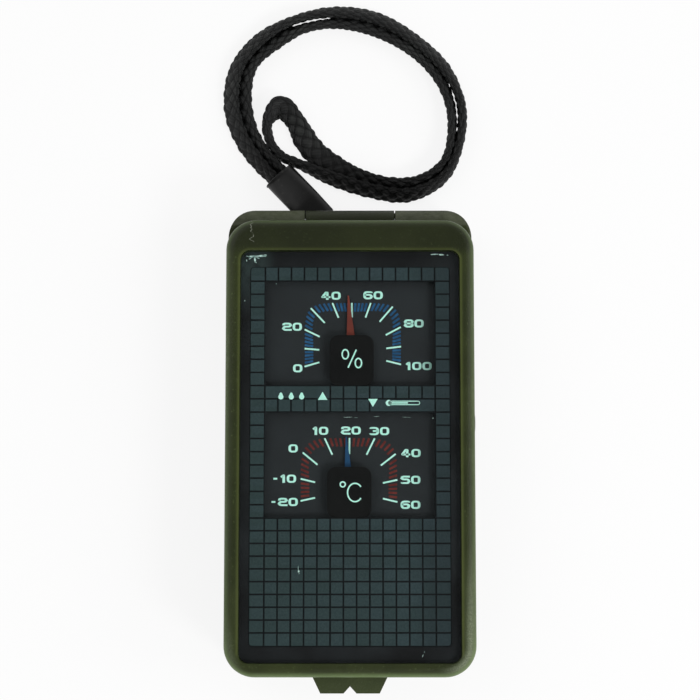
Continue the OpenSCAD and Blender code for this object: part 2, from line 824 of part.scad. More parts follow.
module dial_pillars(c) {
    for (x = [-well_w / 2 + 4, well_w / 2 - 4], y = [c - opening_l / 2 + 1.5, c + opening_l / 2 - 1.5])
        post(x, y, pillar_r, back_top - fit, dial_z - back_top + fit);
}

module staff_bearing(at) {
    difference() {
        union() {
            post(at[0], at[1], 1.3, back_top - fit, bearing_h + fit);
            // Anchor that the coil's outer end is fixed to
            translate([at[0] + coil_out + coil_w / 2 - anchor_w / 2, at[1], back_top - fit])
                cube([anchor_w, anchor_l, coil_h + 0.6]);
        }
        post(at[0], at[1], staff_r + run, back_top + 0.2, bearing_h);
    }
}

module lid_back() {
    color(black) {
        difference() {
            plate(back_w - 2 * fit, back_y0 + fit, back_y1 - fit, back_r, lid_z, back_t);
            plate(mirror_w + 2 * fit, mirror_y - mirror_l / 2 - fit, mirror_y + mirror_l / 2 + fit, 3,
                  lid_z - past, mirror_t + 0.2 + past);
            for (x = [-lid_screw_x, lid_screw_x], y = lid_screw_y) {
                post(x, y, lid_screw_head_r + 0.1, lid_z - past, 1 + past);
                post(x, y, lid_screw_r + 0.1, lid_z, back_t + past);
            }
        }
        dial_pillars(hygro_c);
        dial_pillars(thermo_c);
        staff_bearing(hygro_at);
        staff_bearing(thermo_at);
    }
}

module lid_screws() {
    color(steel) for (x = [-lid_screw_x, lid_screw_x], y = lid_screw_y) difference() {
        union() {
            post(x, y, lid_screw_head_r, lid_z + 0.1, 0.9);
            post(x, y, lid_screw_r, lid_z + 1 - fit, back_t - 1 + lid_screw_l - 0.2 + fit);
        }
        translate([x, y, lid_z + 0.1]) cross_recess(lid_screw_head_r);
    }
}

module mirror_glass() {
    color("#d6dde0") plate(mirror_w, mirror_y - mirror_l / 2, mirror_y + mirror_l / 2, 3, lid_z + 0.2, mirror_t);
}

module window() {
    color(clear) plate(window_w - 2 * fit, window_y0 + fit, window_y1 - fit, window_corner_r, window_z, window_t);
}

module face_plate() {
    half_l = opening_l / 2;
    middle = (hygro_c + thermo_c) / 2;
    free_square = (thermo_c - half_l - face_y0) / face_free_rows;
    color(dial_black) difference() {
        union() {
            plate(well_w - 2 * fit, well_y0 + fit, well_y1 - fit, well_r, face_z, face_t - groove_d);
            plate(2 * face_x, face_y0, face_y1, face_r, face_z, face_t);
        }
        for (c = [hygro_c, thermo_c]) {
            box(-opening_w / 2, opening_w / 2, c - half_l, c + half_l, face_z - past, window_z + past);
            for (i = [0 : face_rows]) level_groove(c - half_l + i * opening_l / face_rows);
        }
        level_groove(middle);
        for (i = [1 : face_free_rows - 1]) level_groove(face_y0 + i * free_square);
        // The five squares left of the middle and right of it each join into one label patch
        for (i = [0 : face_columns]) {
            left = i > 0 && i < 5;
            right = i > face_columns - 5 && i < face_columns;
            upright_groove(i, face_y0 - past, right ? thermo_c + half_l : middle);
            upright_groove(i, left ? hygro_c - half_l : middle, face_y1 + past);
        }
    }
}

module level_groove(y) {
    box(-face_x - past, face_x + past, y - groove_w / 2, y + groove_w / 2,
        face_z + face_t - groove_d, window_z + past);
}

module upright_groove(i, y0, y1) {
    x = (i / face_columns - 0.5) * opening_w;
    box(x - groove_w / 2, x + groove_w / 2, y0, y1, face_z + face_t - groove_d, window_z + past);
}

// A dial with its staff, coil, pointer and cover, used for both instruments

module dial(c, at) {
    color(dial_black) difference() {
        plate(well_w - 2 * fit, c - opening_l / 2 - dial_lap, c + opening_l / 2 + dial_lap, 1, dial_z, dial_t);
        post(at[0], at[1], staff_r + run, dial_z - past, dial_t + 2 * past);
    }
}

module pointer(at, reach, w, rest, tint) {
    half_w = w / 2;
    tip = pointer_tip / 2;
    color(tint) translate([at[0], at[1], pointer_z]) rotate([0, 0, rest]) difference() {
        union() {
            linear_extrude(pointer_t) polygon([
                [-pointer_tail, -half_w], [0, -half_w], [reach, -tip], [reach, tip],
                [0, half_w], [-pointer_tail, half_w]
            ]);
            cylinder(r = pointer_hub_r, h = pointer_t);
        }
        translate([0, 0, -past]) cylinder(r = staff_r, h = pointer_t + 2 * past);
    }
}

module staff(at) {
    foot = back_top + 0.25;
    color(brass) {
        post(at[0], at[1], staff_r, foot, pointer_z + pointer_t - foot);
        post(at[0], at[1], collet_r, back_top + bearing_h + 0.1, 1);
    }
}

// Points of a flat spiral strip, out along one side and back along the other
function coil_side(offset, turns, steps) = [
    for (i = [0 : steps])
        let (a = 360 * turns * i / steps, r = coil_in + coil_pitch * a / 360 + offset) [r * cos(a), r * sin(a)]
];

module coil(at, tint) {
    outer = coil_side(coil_w, coil_turns, 20 * coil_turns);
    inner = coil_side(0, coil_turns, 20 * coil_turns);
    count = len(inner);
    color(tint) translate([at[0], at[1], coil_z]) linear_extrude(coil_h)
        polygon(concat(outer, [for (i = [1 : count]) inner[count - i]]));
}

module cover(c, at) {
    y0 = c - opening_l / 2;
    color(black) {
        plate_at(at[0], cover_w, y0, y0 + cover_l, 2.2, cover_z, cover_top - cover_z);
        box(at[0] - cover_w / 2 + 1, at[0] + cover_w / 2 - 1, y0 + 0.4, at[1] - 3.4,
            dial_z + dial_t, cover_z + fit);
    }
}

module plate_at(x, w, y0, y1, r, z, h) {
    translate([x, 0, 0]) plate(w, y0, y1, r, z, h);
}

// Lanyard

function along(route, k) = route[min(max(k, 0), len(route) - 1)];

// A point between route[i] and route[i + 1], on the smooth curve through all of them
function smooth(route, i, t) =
    let (a = along(route, i - 1), b = along(route, i), c = along(route, i + 1), d = along(route, i + 2))
    0.5 * (2 * b + t * (c - a) + t * t * (2 * a - 5 * b + 4 * c - d) + t * t * t * (3 * b - a - 3 * c + d));

function smooth_route(route, steps) = concat(
    [for (i = [0 : len(route) - 2], k = [0 : steps - 1]) smooth(route, i, k / steps)],
    [route[len(route) - 1]]
);

// Side direction of a level curve at point i
function level_side(path, i) =
    let (v = along(path, i + 1) - along(path, i - 1), n = norm([v[0], v[1]])) [-v[1] / n, v[0] / n, 0];

function mix(a, b, t) = a + (b - a) * min(max(t, 0), 1);

// Ring i of the cord, seen along it: width and height of its section follow the third value
function cord_ring(path, i, sides) =
    let (
        half_w = mix(cord_t, cord_w, path[i][2]) / 2,
        half_h = mix(cord_w, cord_t, path[i][2]) / 2,
        grow = 1 / cos(180 / sides)
    ) [
        for (j = [0 : sides - 1])
            let (a = 360 * (j + 0.5) / sides)
            [path[i][0], path[i][1], cord_rest + half_h] + grow * half_w * cos(a) * level_side(path, i)
                - [0, 0, grow * half_h * sin(a)]
    ];

function tube_faces(rings, sides) = concat(
    [[for (j = [sides - 1 : -1 : 0]) j]],
    [for (i = [0 : rings - 2], j = [0 : sides - 1])
        let (k = (j + 1) % sides) [i * sides + j, i * sides + k, (i + 1) * sides + k]],
    [for (i = [0 : rings - 2], j = [0 : sides - 1])
        let (k = (j + 1) % sides) [i * sides + j, (i + 1) * sides + k, (i + 1) * sides + j]],
    [[for (j = [0 : sides - 1]) (rings - 1) * sides + j]]
);

function level_gap(path, i, k) = norm([path[i][0] - path[k][0], path[i][1] - path[k][1]])
    - (mix(cord_t, cord_w, path[i][2]) + mix(cord_t, cord_w, path[k][2])) / 2;

module lanyard_cord() {
    sides = 8;
    path = smooth_route(cord_route, cord_steps);
    count = len(path);
    // Finer points than the rings measure how near the cord comes to itself
    dense = smooth_route(cord_route, 6);
    echo(cord_length = cord_length(dense), cord_least_gap = min([
        for (i = [0 : len(dense) - 1], k = [i + 24 : len(dense) - 1]) level_gap(dense, i, k)
    ]));
    color(black) polyhedron(
        [for (i = [0 : count - 1], p = cord_ring(path, i, sides)) p],
        tube_faces(count, sides)
    );
}

function cord_length(path, i = 1, sum = 0) = i == len(path) ? sum :
    cord_length(path, i + 1, sum + norm([path[i][0] - path[i - 1][0], path[i][1] - path[i - 1][1]]));

module lanyard_sleeve() {
    bend = sleeve_foot + sleeve_level * [sleeve_head[0] - sleeve_foot[0], sleeve_head[1] - sleeve_foot[1], 0];
    ends = [[sleeve_head, sleeve_head_t], [bend, sleeve_foot_t], [sleeve_foot, sleeve_foot_t]];
    color("#171717") for (i = [0, 1]) hull() {
        for (end = [ends[i], ends[i + 1]])
            translate(end[0]) rotate([0, 0, sleeve_turn]) rotate([90, 0, 0]) sleeve_slice(end[1]);
    }
}

// A thin slice of the sleeve: flat faces, round sides
module sleeve_slice(t) {
    for (side = [-1, 1]) translate([side * (sleeve_w / 2 - 0.3 * t), 0, -0.05])
        scale([0.6, 1, 1]) cylinder(d = t, h = 0.1, $fn = 20);
}

module lanyard_tether() {
    slant = tan(sleeve_turn);
    turn_x = sleeve_foot[0] + slant * (sleeve_foot[1] - bar_y);
    mouth = sleeve_foot + [-0.6 * slant, 0.6, 0];
    turn = [for (a = [90 : 30 : 270])
        [turn_x - slant * tether_turn * cos(a), bar_y + tether_turn * cos(a), bar_z + tether_turn * sin(a)]];
    path = concat([mouth + [0, 0, 0.9]], turn, [mouth - [0, 0, 0.9]]);
    color(black) for (i = [0 : len(path) - 2]) hull() {
        translate(path[i]) sphere(r = tether_r, $fn = 8);
        translate(path[i + 1]) sphere(r = tether_r, $fn = 8);
    }
}

base_case();
deck();
lanyard_bar();
hinge_pin();
case_screws();
capsule_cup();
capsule_lens();
pivot_pin();
azimuth_ring();
compass_card();
card_magnets();
card_jewel();
magnifier_frame();
magnifier_lens();
magnifier_pin();
light_button();
switch_plunger();
light_switch();
circuit_board();
light_bulb();
light_lens();
coin_cell();
cell_contact_top();
cell_contact_door();
battery_door();
door_screw();
whistle();
lid_frame();
hinge_knuckle();
lid_back();
lid_screws();
mirror_glass();  // mirror
window();
face_plate();
dial(hygro_c, hygro_at);  // hygrometer_dial
pointer(hygro_at, hygro_pointer_l, hygro_pointer_w, hygro_rest, "#b8242c");  // hygrometer_pointer
staff(hygro_at);  // hygrometer_staff
coil(hygro_at, brass);  // hygrometer_coil
cover(hygro_c, hygro_at);  // hygrometer_cover
dial(thermo_c, thermo_at);  // thermometer_dial
pointer(thermo_at, thermo_pointer_l, thermo_pointer_w, thermo_rest, "#2f8fb8");  // thermometer_pointer
staff(thermo_at);  // thermometer_staff
coil(thermo_at, steel);  // thermometer_coil
cover(thermo_c, thermo_at);  // thermometer_cover
lanyard_tether();
lanyard_sleeve();
lanyard_cord();
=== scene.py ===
import math

import bpy
import numpy as np
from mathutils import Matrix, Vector


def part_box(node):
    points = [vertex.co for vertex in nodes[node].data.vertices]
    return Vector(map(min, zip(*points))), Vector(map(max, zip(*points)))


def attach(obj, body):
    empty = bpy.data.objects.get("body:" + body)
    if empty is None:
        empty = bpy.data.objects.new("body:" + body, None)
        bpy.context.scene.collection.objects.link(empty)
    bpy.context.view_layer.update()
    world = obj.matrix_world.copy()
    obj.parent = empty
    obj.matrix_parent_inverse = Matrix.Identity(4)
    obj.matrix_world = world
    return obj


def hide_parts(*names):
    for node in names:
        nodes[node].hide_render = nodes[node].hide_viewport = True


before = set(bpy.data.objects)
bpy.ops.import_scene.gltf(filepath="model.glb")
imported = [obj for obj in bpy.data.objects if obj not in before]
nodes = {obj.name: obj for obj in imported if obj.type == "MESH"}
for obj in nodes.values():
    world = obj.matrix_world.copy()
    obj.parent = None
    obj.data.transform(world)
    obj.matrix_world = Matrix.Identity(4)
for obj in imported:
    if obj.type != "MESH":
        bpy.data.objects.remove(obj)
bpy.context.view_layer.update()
mm = 0.001
fullTurn = 2 * math.pi
up = np.array([0.0, 0.0, 1.0])

# Camera and cord

view = {"lens": 92.4, "sensor": 36, "near": 0.01, "place": (0.0, -0.02304, 0.45435), "tilt": 6.1}


def makeCamera(v):
    lens = bpy.data.cameras.new("camera")
    lens.lens = v["lens"]
    lens.sensor_width = v["sensor"]
    lens.clip_start = v["near"]
    camera = bpy.data.objects.new("camera", lens)
    camera.location = v["place"]
    camera.rotation_euler = (math.radians(v["tilt"]), 0, 0)
    bpy.context.scene.collection.objects.link(camera)
    bpy.context.scene.camera = camera


makeCamera(view)
bpy.context.scene.view_settings.view_transform = "Standard"


# Meshes

# Vectors brought to a length of one
def unit(vectors):
    return vectors / np.maximum(np.linalg.norm(vectors, axis=-1, keepdims=True), 1e-12)


def makePiece(name, points, faces, body, uv=None, smooth=True):
    mesh = bpy.data.meshes.new(name)
    mesh.from_pydata(np.asarray(points, float).tolist(), [], [list(map(int, f)) for f in faces])
    mesh.validate()
    if uv is not None:
        layer = mesh.uv_layers.new(name="along")
        corner = np.zeros(len(mesh.loops), np.int32)
        mesh.loops.foreach_get("vertex_index", corner)
        layer.data.foreach_set("uv", np.asarray(uv, np.float32)[corner].ravel())
    mesh.polygons.foreach_set("use_smooth", np.full(len(mesh.polygons), smooth))
    piece = bpy.data.objects.new(name, mesh)
    bpy.context.scene.collection.objects.link(piece)
    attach(piece, body)
    return piece


# Quads of a grid whose second direction closes on itself: each joins a point to the next along and round
def ringFaces(rings, sides):
    i, j = np.meshgrid(np.arange(rings - 1), np.arange(sides), indexing="ij")
    k = (j + 1) % sides
    quads = np.stack([i * sides + j, i * sides + k, (i + 1) * sides + k, (i + 1) * sides + j], -1)
    return quads.reshape(-1, 4)


# The same, closed by a flat cap on the first ring and on the last
def tubeFaces(rings, sides):
    caps = [list(range(sides - 1, -1, -1)), list(range((rings - 1) * sides, rings * sides))]
    return list(ringFaces(rings, sides)) + caps


# Map of a tube: the measure along it, and the share of the way round it
def tubeMap(along, angle):
    grid = np.broadcast_arrays(along[:, None], (angle / fullTurn)[None, :])
    return np.stack(grid, -1).reshape(-1, 2)


def roundAngles(sides):
    return np.arange(sides) * fullTurn / sides


# Squarer than a circle: the sine or cosine raised to a power below one, with its sign kept
def squarish(wave, power):
    return np.sign(wave) * np.abs(wave) ** power


# Cubic through the points: its slope at each is half the way from the point before to the one after
def smoothRoute(points, steps):
    p = np.asarray(points, float)
    padded = np.concatenate([p[:1], p, p[-1:]])
    span, t = np.divmod(np.arange((len(p) - 1) * steps + 1), steps)
    last = span == len(p) - 1
    span = np.where(last, span - 1, span)
    t = np.where(last, 1, t / steps)[:, None]
    a, b, c, d = (padded[span + k] for k in range(4))
    return 0.5 * (2 * b + t * (c - a) + t**2 * (2 * a - 5 * b + 4 * c - d) + t**3 * (3 * b - a - 3 * c + d))


# The same line with points at even lengths along it
def evenly(line, step):
    lengths = np.concatenate([[0], np.cumsum(np.linalg.norm(np.diff(line[:, :2], axis=0), axis=1))])
    at = np.linspace(0, lengths[-1], int(round(lengths[-1] / step)) + 1)
    return np.stack([np.interp(at, lengths, line[:, k]) for k in range(line.shape[1])], 1), at


# The route gives the place and, in degrees, the turn of the flat side: 90 stands on its edge, 0 lies on
# its face
lanyard = {
    "route": [
        (-0.0174, 0.0672, 102), (-0.0227, 0.0725, 118), (-0.0275, 0.0792, 128), (-0.0304, 0.0880, 132),
        (-0.0292, 0.0980, 128), (-0.0230, 0.1060, 127), (-0.0141, 0.1109, 107), (-0.0040, 0.1129, 124),
        (0.0069, 0.1113, 127), (0.0168, 0.1055, 124), (0.0246, 0.0978, 119), (0.0285, 0.0885, 91),
        (0.0280, 0.0786, 91), (0.0240, 0.0697, 100), (0.0151, 0.0651, 114), (0.0056, 0.0661, 117),
        (-0.0041, 0.0691, 115), (-0.0120, 0.0726, 94), (-0.0177, 0.0752, 90), (-0.0207, 0.0796, 82),
        (-0.0210, 0.0845, 74), (-0.0177, 0.0879, 20), (-0.0142, 0.0845, 36), (-0.0110, 0.0788, 6),
        (-0.0069, 0.0745, 6), (0.0005, 0.0700, 32), (0.0095, 0.0677, 58), (0.0180, 0.0686, 72),
        (0.0245, 0.0741, 86), (0.0262, 0.0839, 82), (0.0243, 0.0929, 65), (0.0189, 0.1005, 56),
        (0.0106, 0.1063, 52), (0.0005, 0.1098, 48), (-0.0097, 0.1092, 68), (-0.0184, 0.1056, 41),
        (-0.0254, 0.0990, 50), (-0.0272, 0.0900, 48), (-0.0253, 0.0811, 52), (-0.0209, 0.0744, 60),
        (-0.0155, 0.0693, 76),
    ],
    "width": 0.0053, "thick": 0.0026, "rest": 0.00005, "spanSteps": 12,
    "stitch": 0.0036, "relief": 0.00055, "bulge": (0.9, 0.4), "columns": 6, "nudge": 0.0001,
    "spread": 0.22, "corner": 0.8, "sides": 44, "perStitch": 18,
    "length": 0.353, "exit": (-0.0174, 0.0672, 0.00255),
}


# Flat braid: each ring is a superellipse whose wide axis turns with the route. Stitches are the squares
# of two slanting counts, length plus and minus the way round. Each bulges by a product of sines,
# longer along one slant or the other in turn, as threads that pass over and under do. Where the cord
# lies flat it spreads, by the fourth power of the turn's cosine. Its middle lies high enough for the
# lowest point within a stitch to either side to rest on the ground, averaged over a stitch.
def makeCord(c):
    line, at = evenly(smoothRoute(c["route"], c["spanSteps"]), c["stitch"] / c["perStitch"])
    ahead = unit(np.gradient(line[:, :2], axis=0))
    side = np.stack([-ahead[:, 1], ahead[:, 0], np.zeros(len(line))], 1)
    turn = np.radians(line[:, 2])[:, None]
    wide = np.cos(turn) * side + np.sin(turn) * up
    thin = np.cos(turn) * up - np.sin(turn) * side
    angle = roundAngles(c["sides"])
    across, through = (squarish(wave, c["corner"]) for wave in (np.cos(angle), np.sin(angle)))
    columns = c["columns"] * angle[None, :] / fullTurn
    p, q = (at[:, None] / c["stitch"] + way * columns for way in (1, -1))
    over = (np.floor(p + c["nudge"]) + np.floor(q + c["nudge"])) % 2
    low, high = np.abs(np.sin(math.pi * p)), np.abs(np.sin(math.pi * q))
    steep, gentle = c["bulge"]
    bulge = np.where(over > 0, low**steep * high**gentle, low**gentle * high**steep)
    sink = c["relief"] * (1 - bulge)
    out = unit(np.stack([np.cos(angle) / c["width"], np.sin(angle) / c["thick"]], 1))
    x = across * c["width"] / 2 * (1 + c["spread"] * np.cos(turn) ** 4) - out[:, 0] * sink
    y = through * c["thick"] / 2 - out[:, 1] * sink
    offset = x[..., None] * wide[:, None, :] + y[..., None] * thin[:, None, :]
    height = c["rest"] - offset[..., 2].min(1)
    reach, half = c["perStitch"], c["perStitch"] // 2
    height = np.lib.stride_tricks.sliding_window_view(np.pad(height, reach, "edge"), 2 * reach + 1).max(1)
    height = np.convolve(np.pad(height, half, "edge"), np.ones(2 * half + 1) / (2 * half + 1), "valid")
    centre = np.concatenate([line[:, :2], height[:, None]], 1)
    points = (centre[:, None, :] + offset).reshape(-1, 3)
    faces = tubeFaces(len(line), c["sides"])
    piece = makePiece("lanyardCord", points, faces, "case", tubeMap(at / c["stitch"], angle))
    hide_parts("lanyard_cord")
    return piece


cord = makeCord(lanyard)
print("camera and cord")

# Sleeve and tether

# Shares tell how far along each ring is. "eased" is how much of the slope starts and ends softly.
sleeve = {
    "foot": (-0.00715, 0.0578, 0.00515), "head": (-0.01815, 0.070, 0.00275), "level": 0.38, "eased": 0.35,
    "footThick": 0.0032, "headThick": 0.0054, "width": 0.0083, "wall": 0.00045, "lip": 0.00018,
    "floor": 0.00004, "sides": 48, "corner": (0.7, 0.85),
    "footShares": (0, 0.004, 0.012), "footGrow": (-0.00055, -0.0002, -0.00005),
    "middleShares": (0.03, 0.97, 30), "headShares": (0.985, 0.995, 1, 1, 0.99, 0.9),
}


# Heat-shrunk tube: superellipse rings from the foot to the head, level at first and then sloping
# and thickening. A small lip rolls out at the head, and the wall turns back in to an open mouth. Its
# underside lies flat on the ground.
def makeSleeve(c):
    foot, head = np.array(c["foot"]), np.array(c["head"])
    share = np.concatenate([c["footShares"], np.linspace(*c["middleShares"]), c["headShares"]])
    slope = np.clip((share - c["level"]) / (1 - c["level"]), 0, 1)
    slope = slope * slope * (3 - 2 * slope) * c["eased"] + slope * (1 - c["eased"])
    centre = np.concatenate([foot[:2] + share[:, None] * (head - foot)[:2],
                             (foot[2] + slope * (head - foot)[2])[:, None]], 1)
    thick = c["footThick"] + slope * (c["headThick"] - c["footThick"])
    lip, wall = c["lip"], c["wall"]
    grow = np.zeros(len(share))
    grow[:3] = c["footGrow"]
    grow[-6:] = [lip, lip, lip * 0.5, -wall * 0.6, -wall, -wall]
    axis = unit((head - foot)[:2])
    side = np.array([axis[1], -axis[0], 0.0])
    angle = roundAngles(c["sides"])
    x = squarish(np.cos(angle), c["corner"][0])
    y = squarish(np.sin(angle), c["corner"][1])
    points = (centre[:, None, :] + ((c["width"] / 2 + grow)[:, None] * x)[..., None] * side
              + ((thick / 2 + grow)[:, None] * y)[..., None] * up)
    points[..., 2] = np.maximum(points[..., 2], c["floor"])
    faces = tubeFaces(len(share), c["sides"])
    uv = tubeMap(share, angle)
    piece = makePiece("lanyardSleeve", points.reshape(-1, 3), faces, "case", uv)
    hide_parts("lanyard_sleeve")
    return piece


tether = {
    "radius": 0.0005, "bar": (0.0532, 0.00515), "turn": 0.00135, "mouth": 0.0009, "inside": 0.0006,
    "strands": 3, "swell": 0.07, "twist": 0.55, "sides": 12, "rings": 90,
}


# Round twisted cord: a tube along the loop, out of the sleeve, round the bar and back, whose radius
# rises and falls with the angle plus the length, as laid strands do.
def makeTether(c):
    foot, head = np.array(sleeve["foot"]), np.array(sleeve["head"])
    slant = -(head[0] - foot[0]) / (head[1] - foot[1])
    barY, barZ = c["bar"]
    turnX = foot[0] + slant * (foot[1] - barY)
    mouth = foot + np.array([-c["inside"] * slant, c["inside"], 0])
    bend = np.radians(np.arange(90, 271, 15))
    loop = np.stack([turnX - slant * c["turn"] * np.cos(bend), barY + c["turn"] * np.cos(bend),
                     barZ + c["turn"] * np.sin(bend)], 1)
    lift = up[None, :] * c["mouth"]
    path = np.concatenate([mouth + lift, loop, mouth - lift])
    steps = np.linspace(0, len(path) - 1, c["rings"])
    line = np.stack([np.interp(steps, np.arange(len(path)), path[:, k]) for k in range(3)], 1)
    ahead = unit(np.gradient(line, axis=0))
    side = unit(np.cross(ahead, np.array([1.0, slant * 0.5, 0.0])))
    over = np.cross(ahead, side)
    angle = roundAngles(c["sides"])
    twist = c["strands"] * angle[None, :] + np.arange(c["rings"])[:, None] * c["twist"]
    radius = c["radius"] * (1 - c["swell"] + c["swell"] * np.cos(twist))
    points = (line[:, None] + (radius * np.cos(angle))[..., None] * side[:, None]
              + (radius * np.sin(angle))[..., None] * over[:, None])
    faces = tubeFaces(c["rings"], c["sides"])
    uv = tubeMap(steps, angle)
    piece = makePiece("lanyardTether", points.reshape(-1, 3), faces, "case", uv)
    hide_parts("lanyard_tether")
    return piece


lanyardSleeve = makeSleeve(sleeve)
lanyardTether = makeTether(tether)
print("sleeve and tether")


# Printed marks

def raised(outline, z):
    return np.c_[outline, np.full(len(outline), z)]


mitreLimit = 0.6


class Marks:
    def __init__(self):
        self.points, self.faces, self.count = [], [], 0

    def add(self, points, faces):
        self.points.append(points)
        self.faces += [[i + self.count for i in f] for f in faces]
        self.count += len(points)

    # A flat bar along a line: each point moves out by half the pen along the mean of its two normals
    def stroke(self, line, pen, low, high, closed=False):
        line = np.asarray(line, float)
        before = line - np.roll(line, 1, 0)
        after = np.roll(before, -1, 0)
        if not closed:
            before[0], after[-1] = after[0], before[-1]
        n1, n2 = (unit(np.stack([-v[:, 1], v[:, 0]], 1)) for v in (before, after))
        mean = unit(n1 + n2)
        push = mean * (np.asarray(pen) / 2) / np.maximum((mean * n1).sum(1, keepdims=True), mitreLimit)
        n = len(line)
        flat = np.concatenate([line + push, line - push])
        i = np.arange(n if closed else n - 1)
        k = (i + 1) % n
        quads = np.concatenate([
            np.stack([n + i, n + k, k, i], 1),
            np.stack([2 * n + i, 2 * n + k, 3 * n + k, 3 * n + i], 1),
            np.stack([i, k, 2 * n + k, 2 * n + i], 1),
            np.stack([3 * n + i, 3 * n + k, n + k, n + i], 1),
        ]).tolist()
        if not closed:
            quads += [[0, 2 * n, 3 * n, n], [n - 1, 2 * n - 1, 4 * n - 1, 3 * n - 1]]
        self.add(np.concatenate([raised(flat, high), raised(flat, low)]), quads)

    # A flat patch inside a closed outline that runs anticlockwise
    def patch(self, outline, low, high):
        outline = np.asarray(outline, float)
        n = len(outline)
        sides = [[i, n + i, n + (i + 1) % n, (i + 1) % n] for i in range(n)]
        self.add(np.concatenate([raised(outline, high), raised(outline, low)]),
                 [list(range(n)), list(range(2 * n - 1, n - 1, -1))] + sides)

    def make(self, name, body, slot):
        return makePiece(name, np.concatenate(self.points), self.faces, body, smooth=False)


# Print reaches from just inside a surface to just above it
def inkLevels(surface):
    return surface - 0.00002, surface + 0.00003


# Directions at these angles from the x axis
def rays(angle):
    return np.stack([np.cos(angle), np.sin(angle)], 1)


# Ellipse, or part of one, as points at even angles
def arc(centre, radii, first=0.0, last=360.0, count=40):
    full = abs(last - first) >= 360
    angle = np.radians(np.linspace(first, last, count, endpoint=not full))
    return np.array(centre) + np.array(radii) * rays(angle)


# Rounded rectangle as four quarter circles, anticlockwise
def roundedBox(centre, half, radius, count=10):
    angle = np.radians(np.linspace(0, 90, count))
    corners = []
    for sx, sy, first in ((1, 1, 0), (-1, 1, 90), (-1, -1, 180), (1, -1, 270)):
        middle = np.array([centre[0] + sx * (half[0] - radius), centre[1] + sy * (half[1] - radius)])
        corners.append(middle + radius * rays(angle + math.radians(first)))
    return np.concatenate(corners)


# Corners give way to parabolas that start and end one radius from them
def roundCorners(points, radius, closed=False, steps=6):
    p = np.asarray(points, float)
    t = np.linspace(0, 1, steps)[:, None]
    line = []
    for i in range(len(p)):
        if not closed and i in (0, len(p) - 1):
            line.append(p[i:i + 1])
            continue
        back, ahead = p[i - 1] - p[i], p[(i + 1) % len(p)] - p[i]
        a = p[i] + back * min(radius / np.linalg.norm(back), 0.5)
        b = p[i] + ahead * min(radius / np.linalg.norm(ahead), 0.5)
        line.append((1 - t) ** 2 * a + 2 * t * (1 - t) * p[i] + t**2 * b)
    return np.concatenate(line)


# Middle lines of square-shouldered figures in a box from 0 to 1: (points, closed)
figures = {
    "0": [([(0, 0), (1, 0), (1, 1), (0, 1)], True)],
    "1": [([(-0.1, 0.72), (0.55, 1), (0.75, 1), (0.75, -0.2)], False)],
    "2": [([(0, 0.72), (0, 1), (1, 1), (1, 0.52), (0, 0.52), (0, 0), (1.2, 0)], False)],
    "3": [([(0, 0.85), (0, 1), (1, 1), (1, 0), (0, 0), (0, 0.15)], False), ([(0.3, 0.51), (1, 0.51)], False)],
    "4": [([(0.72, -0.2), (0.72, 1), (0.5, 1), (0, 0.28), (1.2, 0.28)], False)],
    "5": [([(1.15, 1), (0, 1), (0, 0.57), (1, 0.57), (1, 0), (0, 0), (0, 0.12)], False)],
    "6": [([(1, 0.85), (1, 1), (0, 1), (0, 0), (1, 0), (1, 0.57), (0, 0.57)], False)],
    "7": [([(0, 1), (1, 1), (0.45, -0.2)], False)],
    "8": [([(0, 0), (1, 0), (1, 0.4), (0.9, 0.5), (1, 0.6), (1, 1),
            (0, 1), (0, 0.6), (0.1, 0.5), (0, 0.4)], True), ([(0.1, 0.5), (0.9, 0.5)], False)],
    "9": [([(0, 0.15), (0, 0), (1, 0), (1, 1), (0, 1), (0, 0.43), (1, 0.43)], False)],
    "-": [([(0.2, 0.5), (0.9, 0.5)], False)],
}
figureWidths = {"1": 0.62, "-": 0.85}
sharpFigures = "147"
sharpShoulder = 0.0001


# A number centred on a place: each figure's middle line is scaled to its box inside the pen
def writeNumber(marks, text, centre, look, low, high, turn=0.0):
    pen = np.array(look["pen"])
    sizes = [look["width"] * figureWidths.get(f, 1) for f in text]
    total = sum(sizes) + look["gap"] * (len(text) - 1)
    ct, st = math.cos(turn), math.sin(turn)
    spin = np.array([[ct, st], [-st, ct]])
    x = -total / 2
    for figure, size in zip(text, sizes):
        box = np.array([size, look["height"]]) - pen
        lowest, highest = [-0.5, -0.5 * pen[1] / box[1]], [1 + 0.5 * pen[0] / box[0]] * 2
        shoulder = sharpShoulder if figure in sharpFigures else look["shoulder"]
        for points, closed in figures[figure]:
            p = np.clip(np.array(points, float), lowest, highest)
            line = roundCorners(p * box + pen / 2 + [x, -look["height"] / 2], shoulder, closed)
            if turn:
                marks.stroke(line @ spin + centre, [pen.mean()] * 2, low, high, closed)
            else:
                marks.stroke(line + centre, pen, low, high, closed)
        x += size + look["gap"]


scaleFigures = {
    "width": 0.00226, "height": 0.00196, "pen": (0.00062, 0.00043), "gap": 0.00022, "shoulder": 0.0006,
}
scaleLines = {
    "pen": 0.0004, "stepPen": 0.00052, "stepLong": 0.00205, "stepReach": 0.995, "stepLower": 0.00001,
}

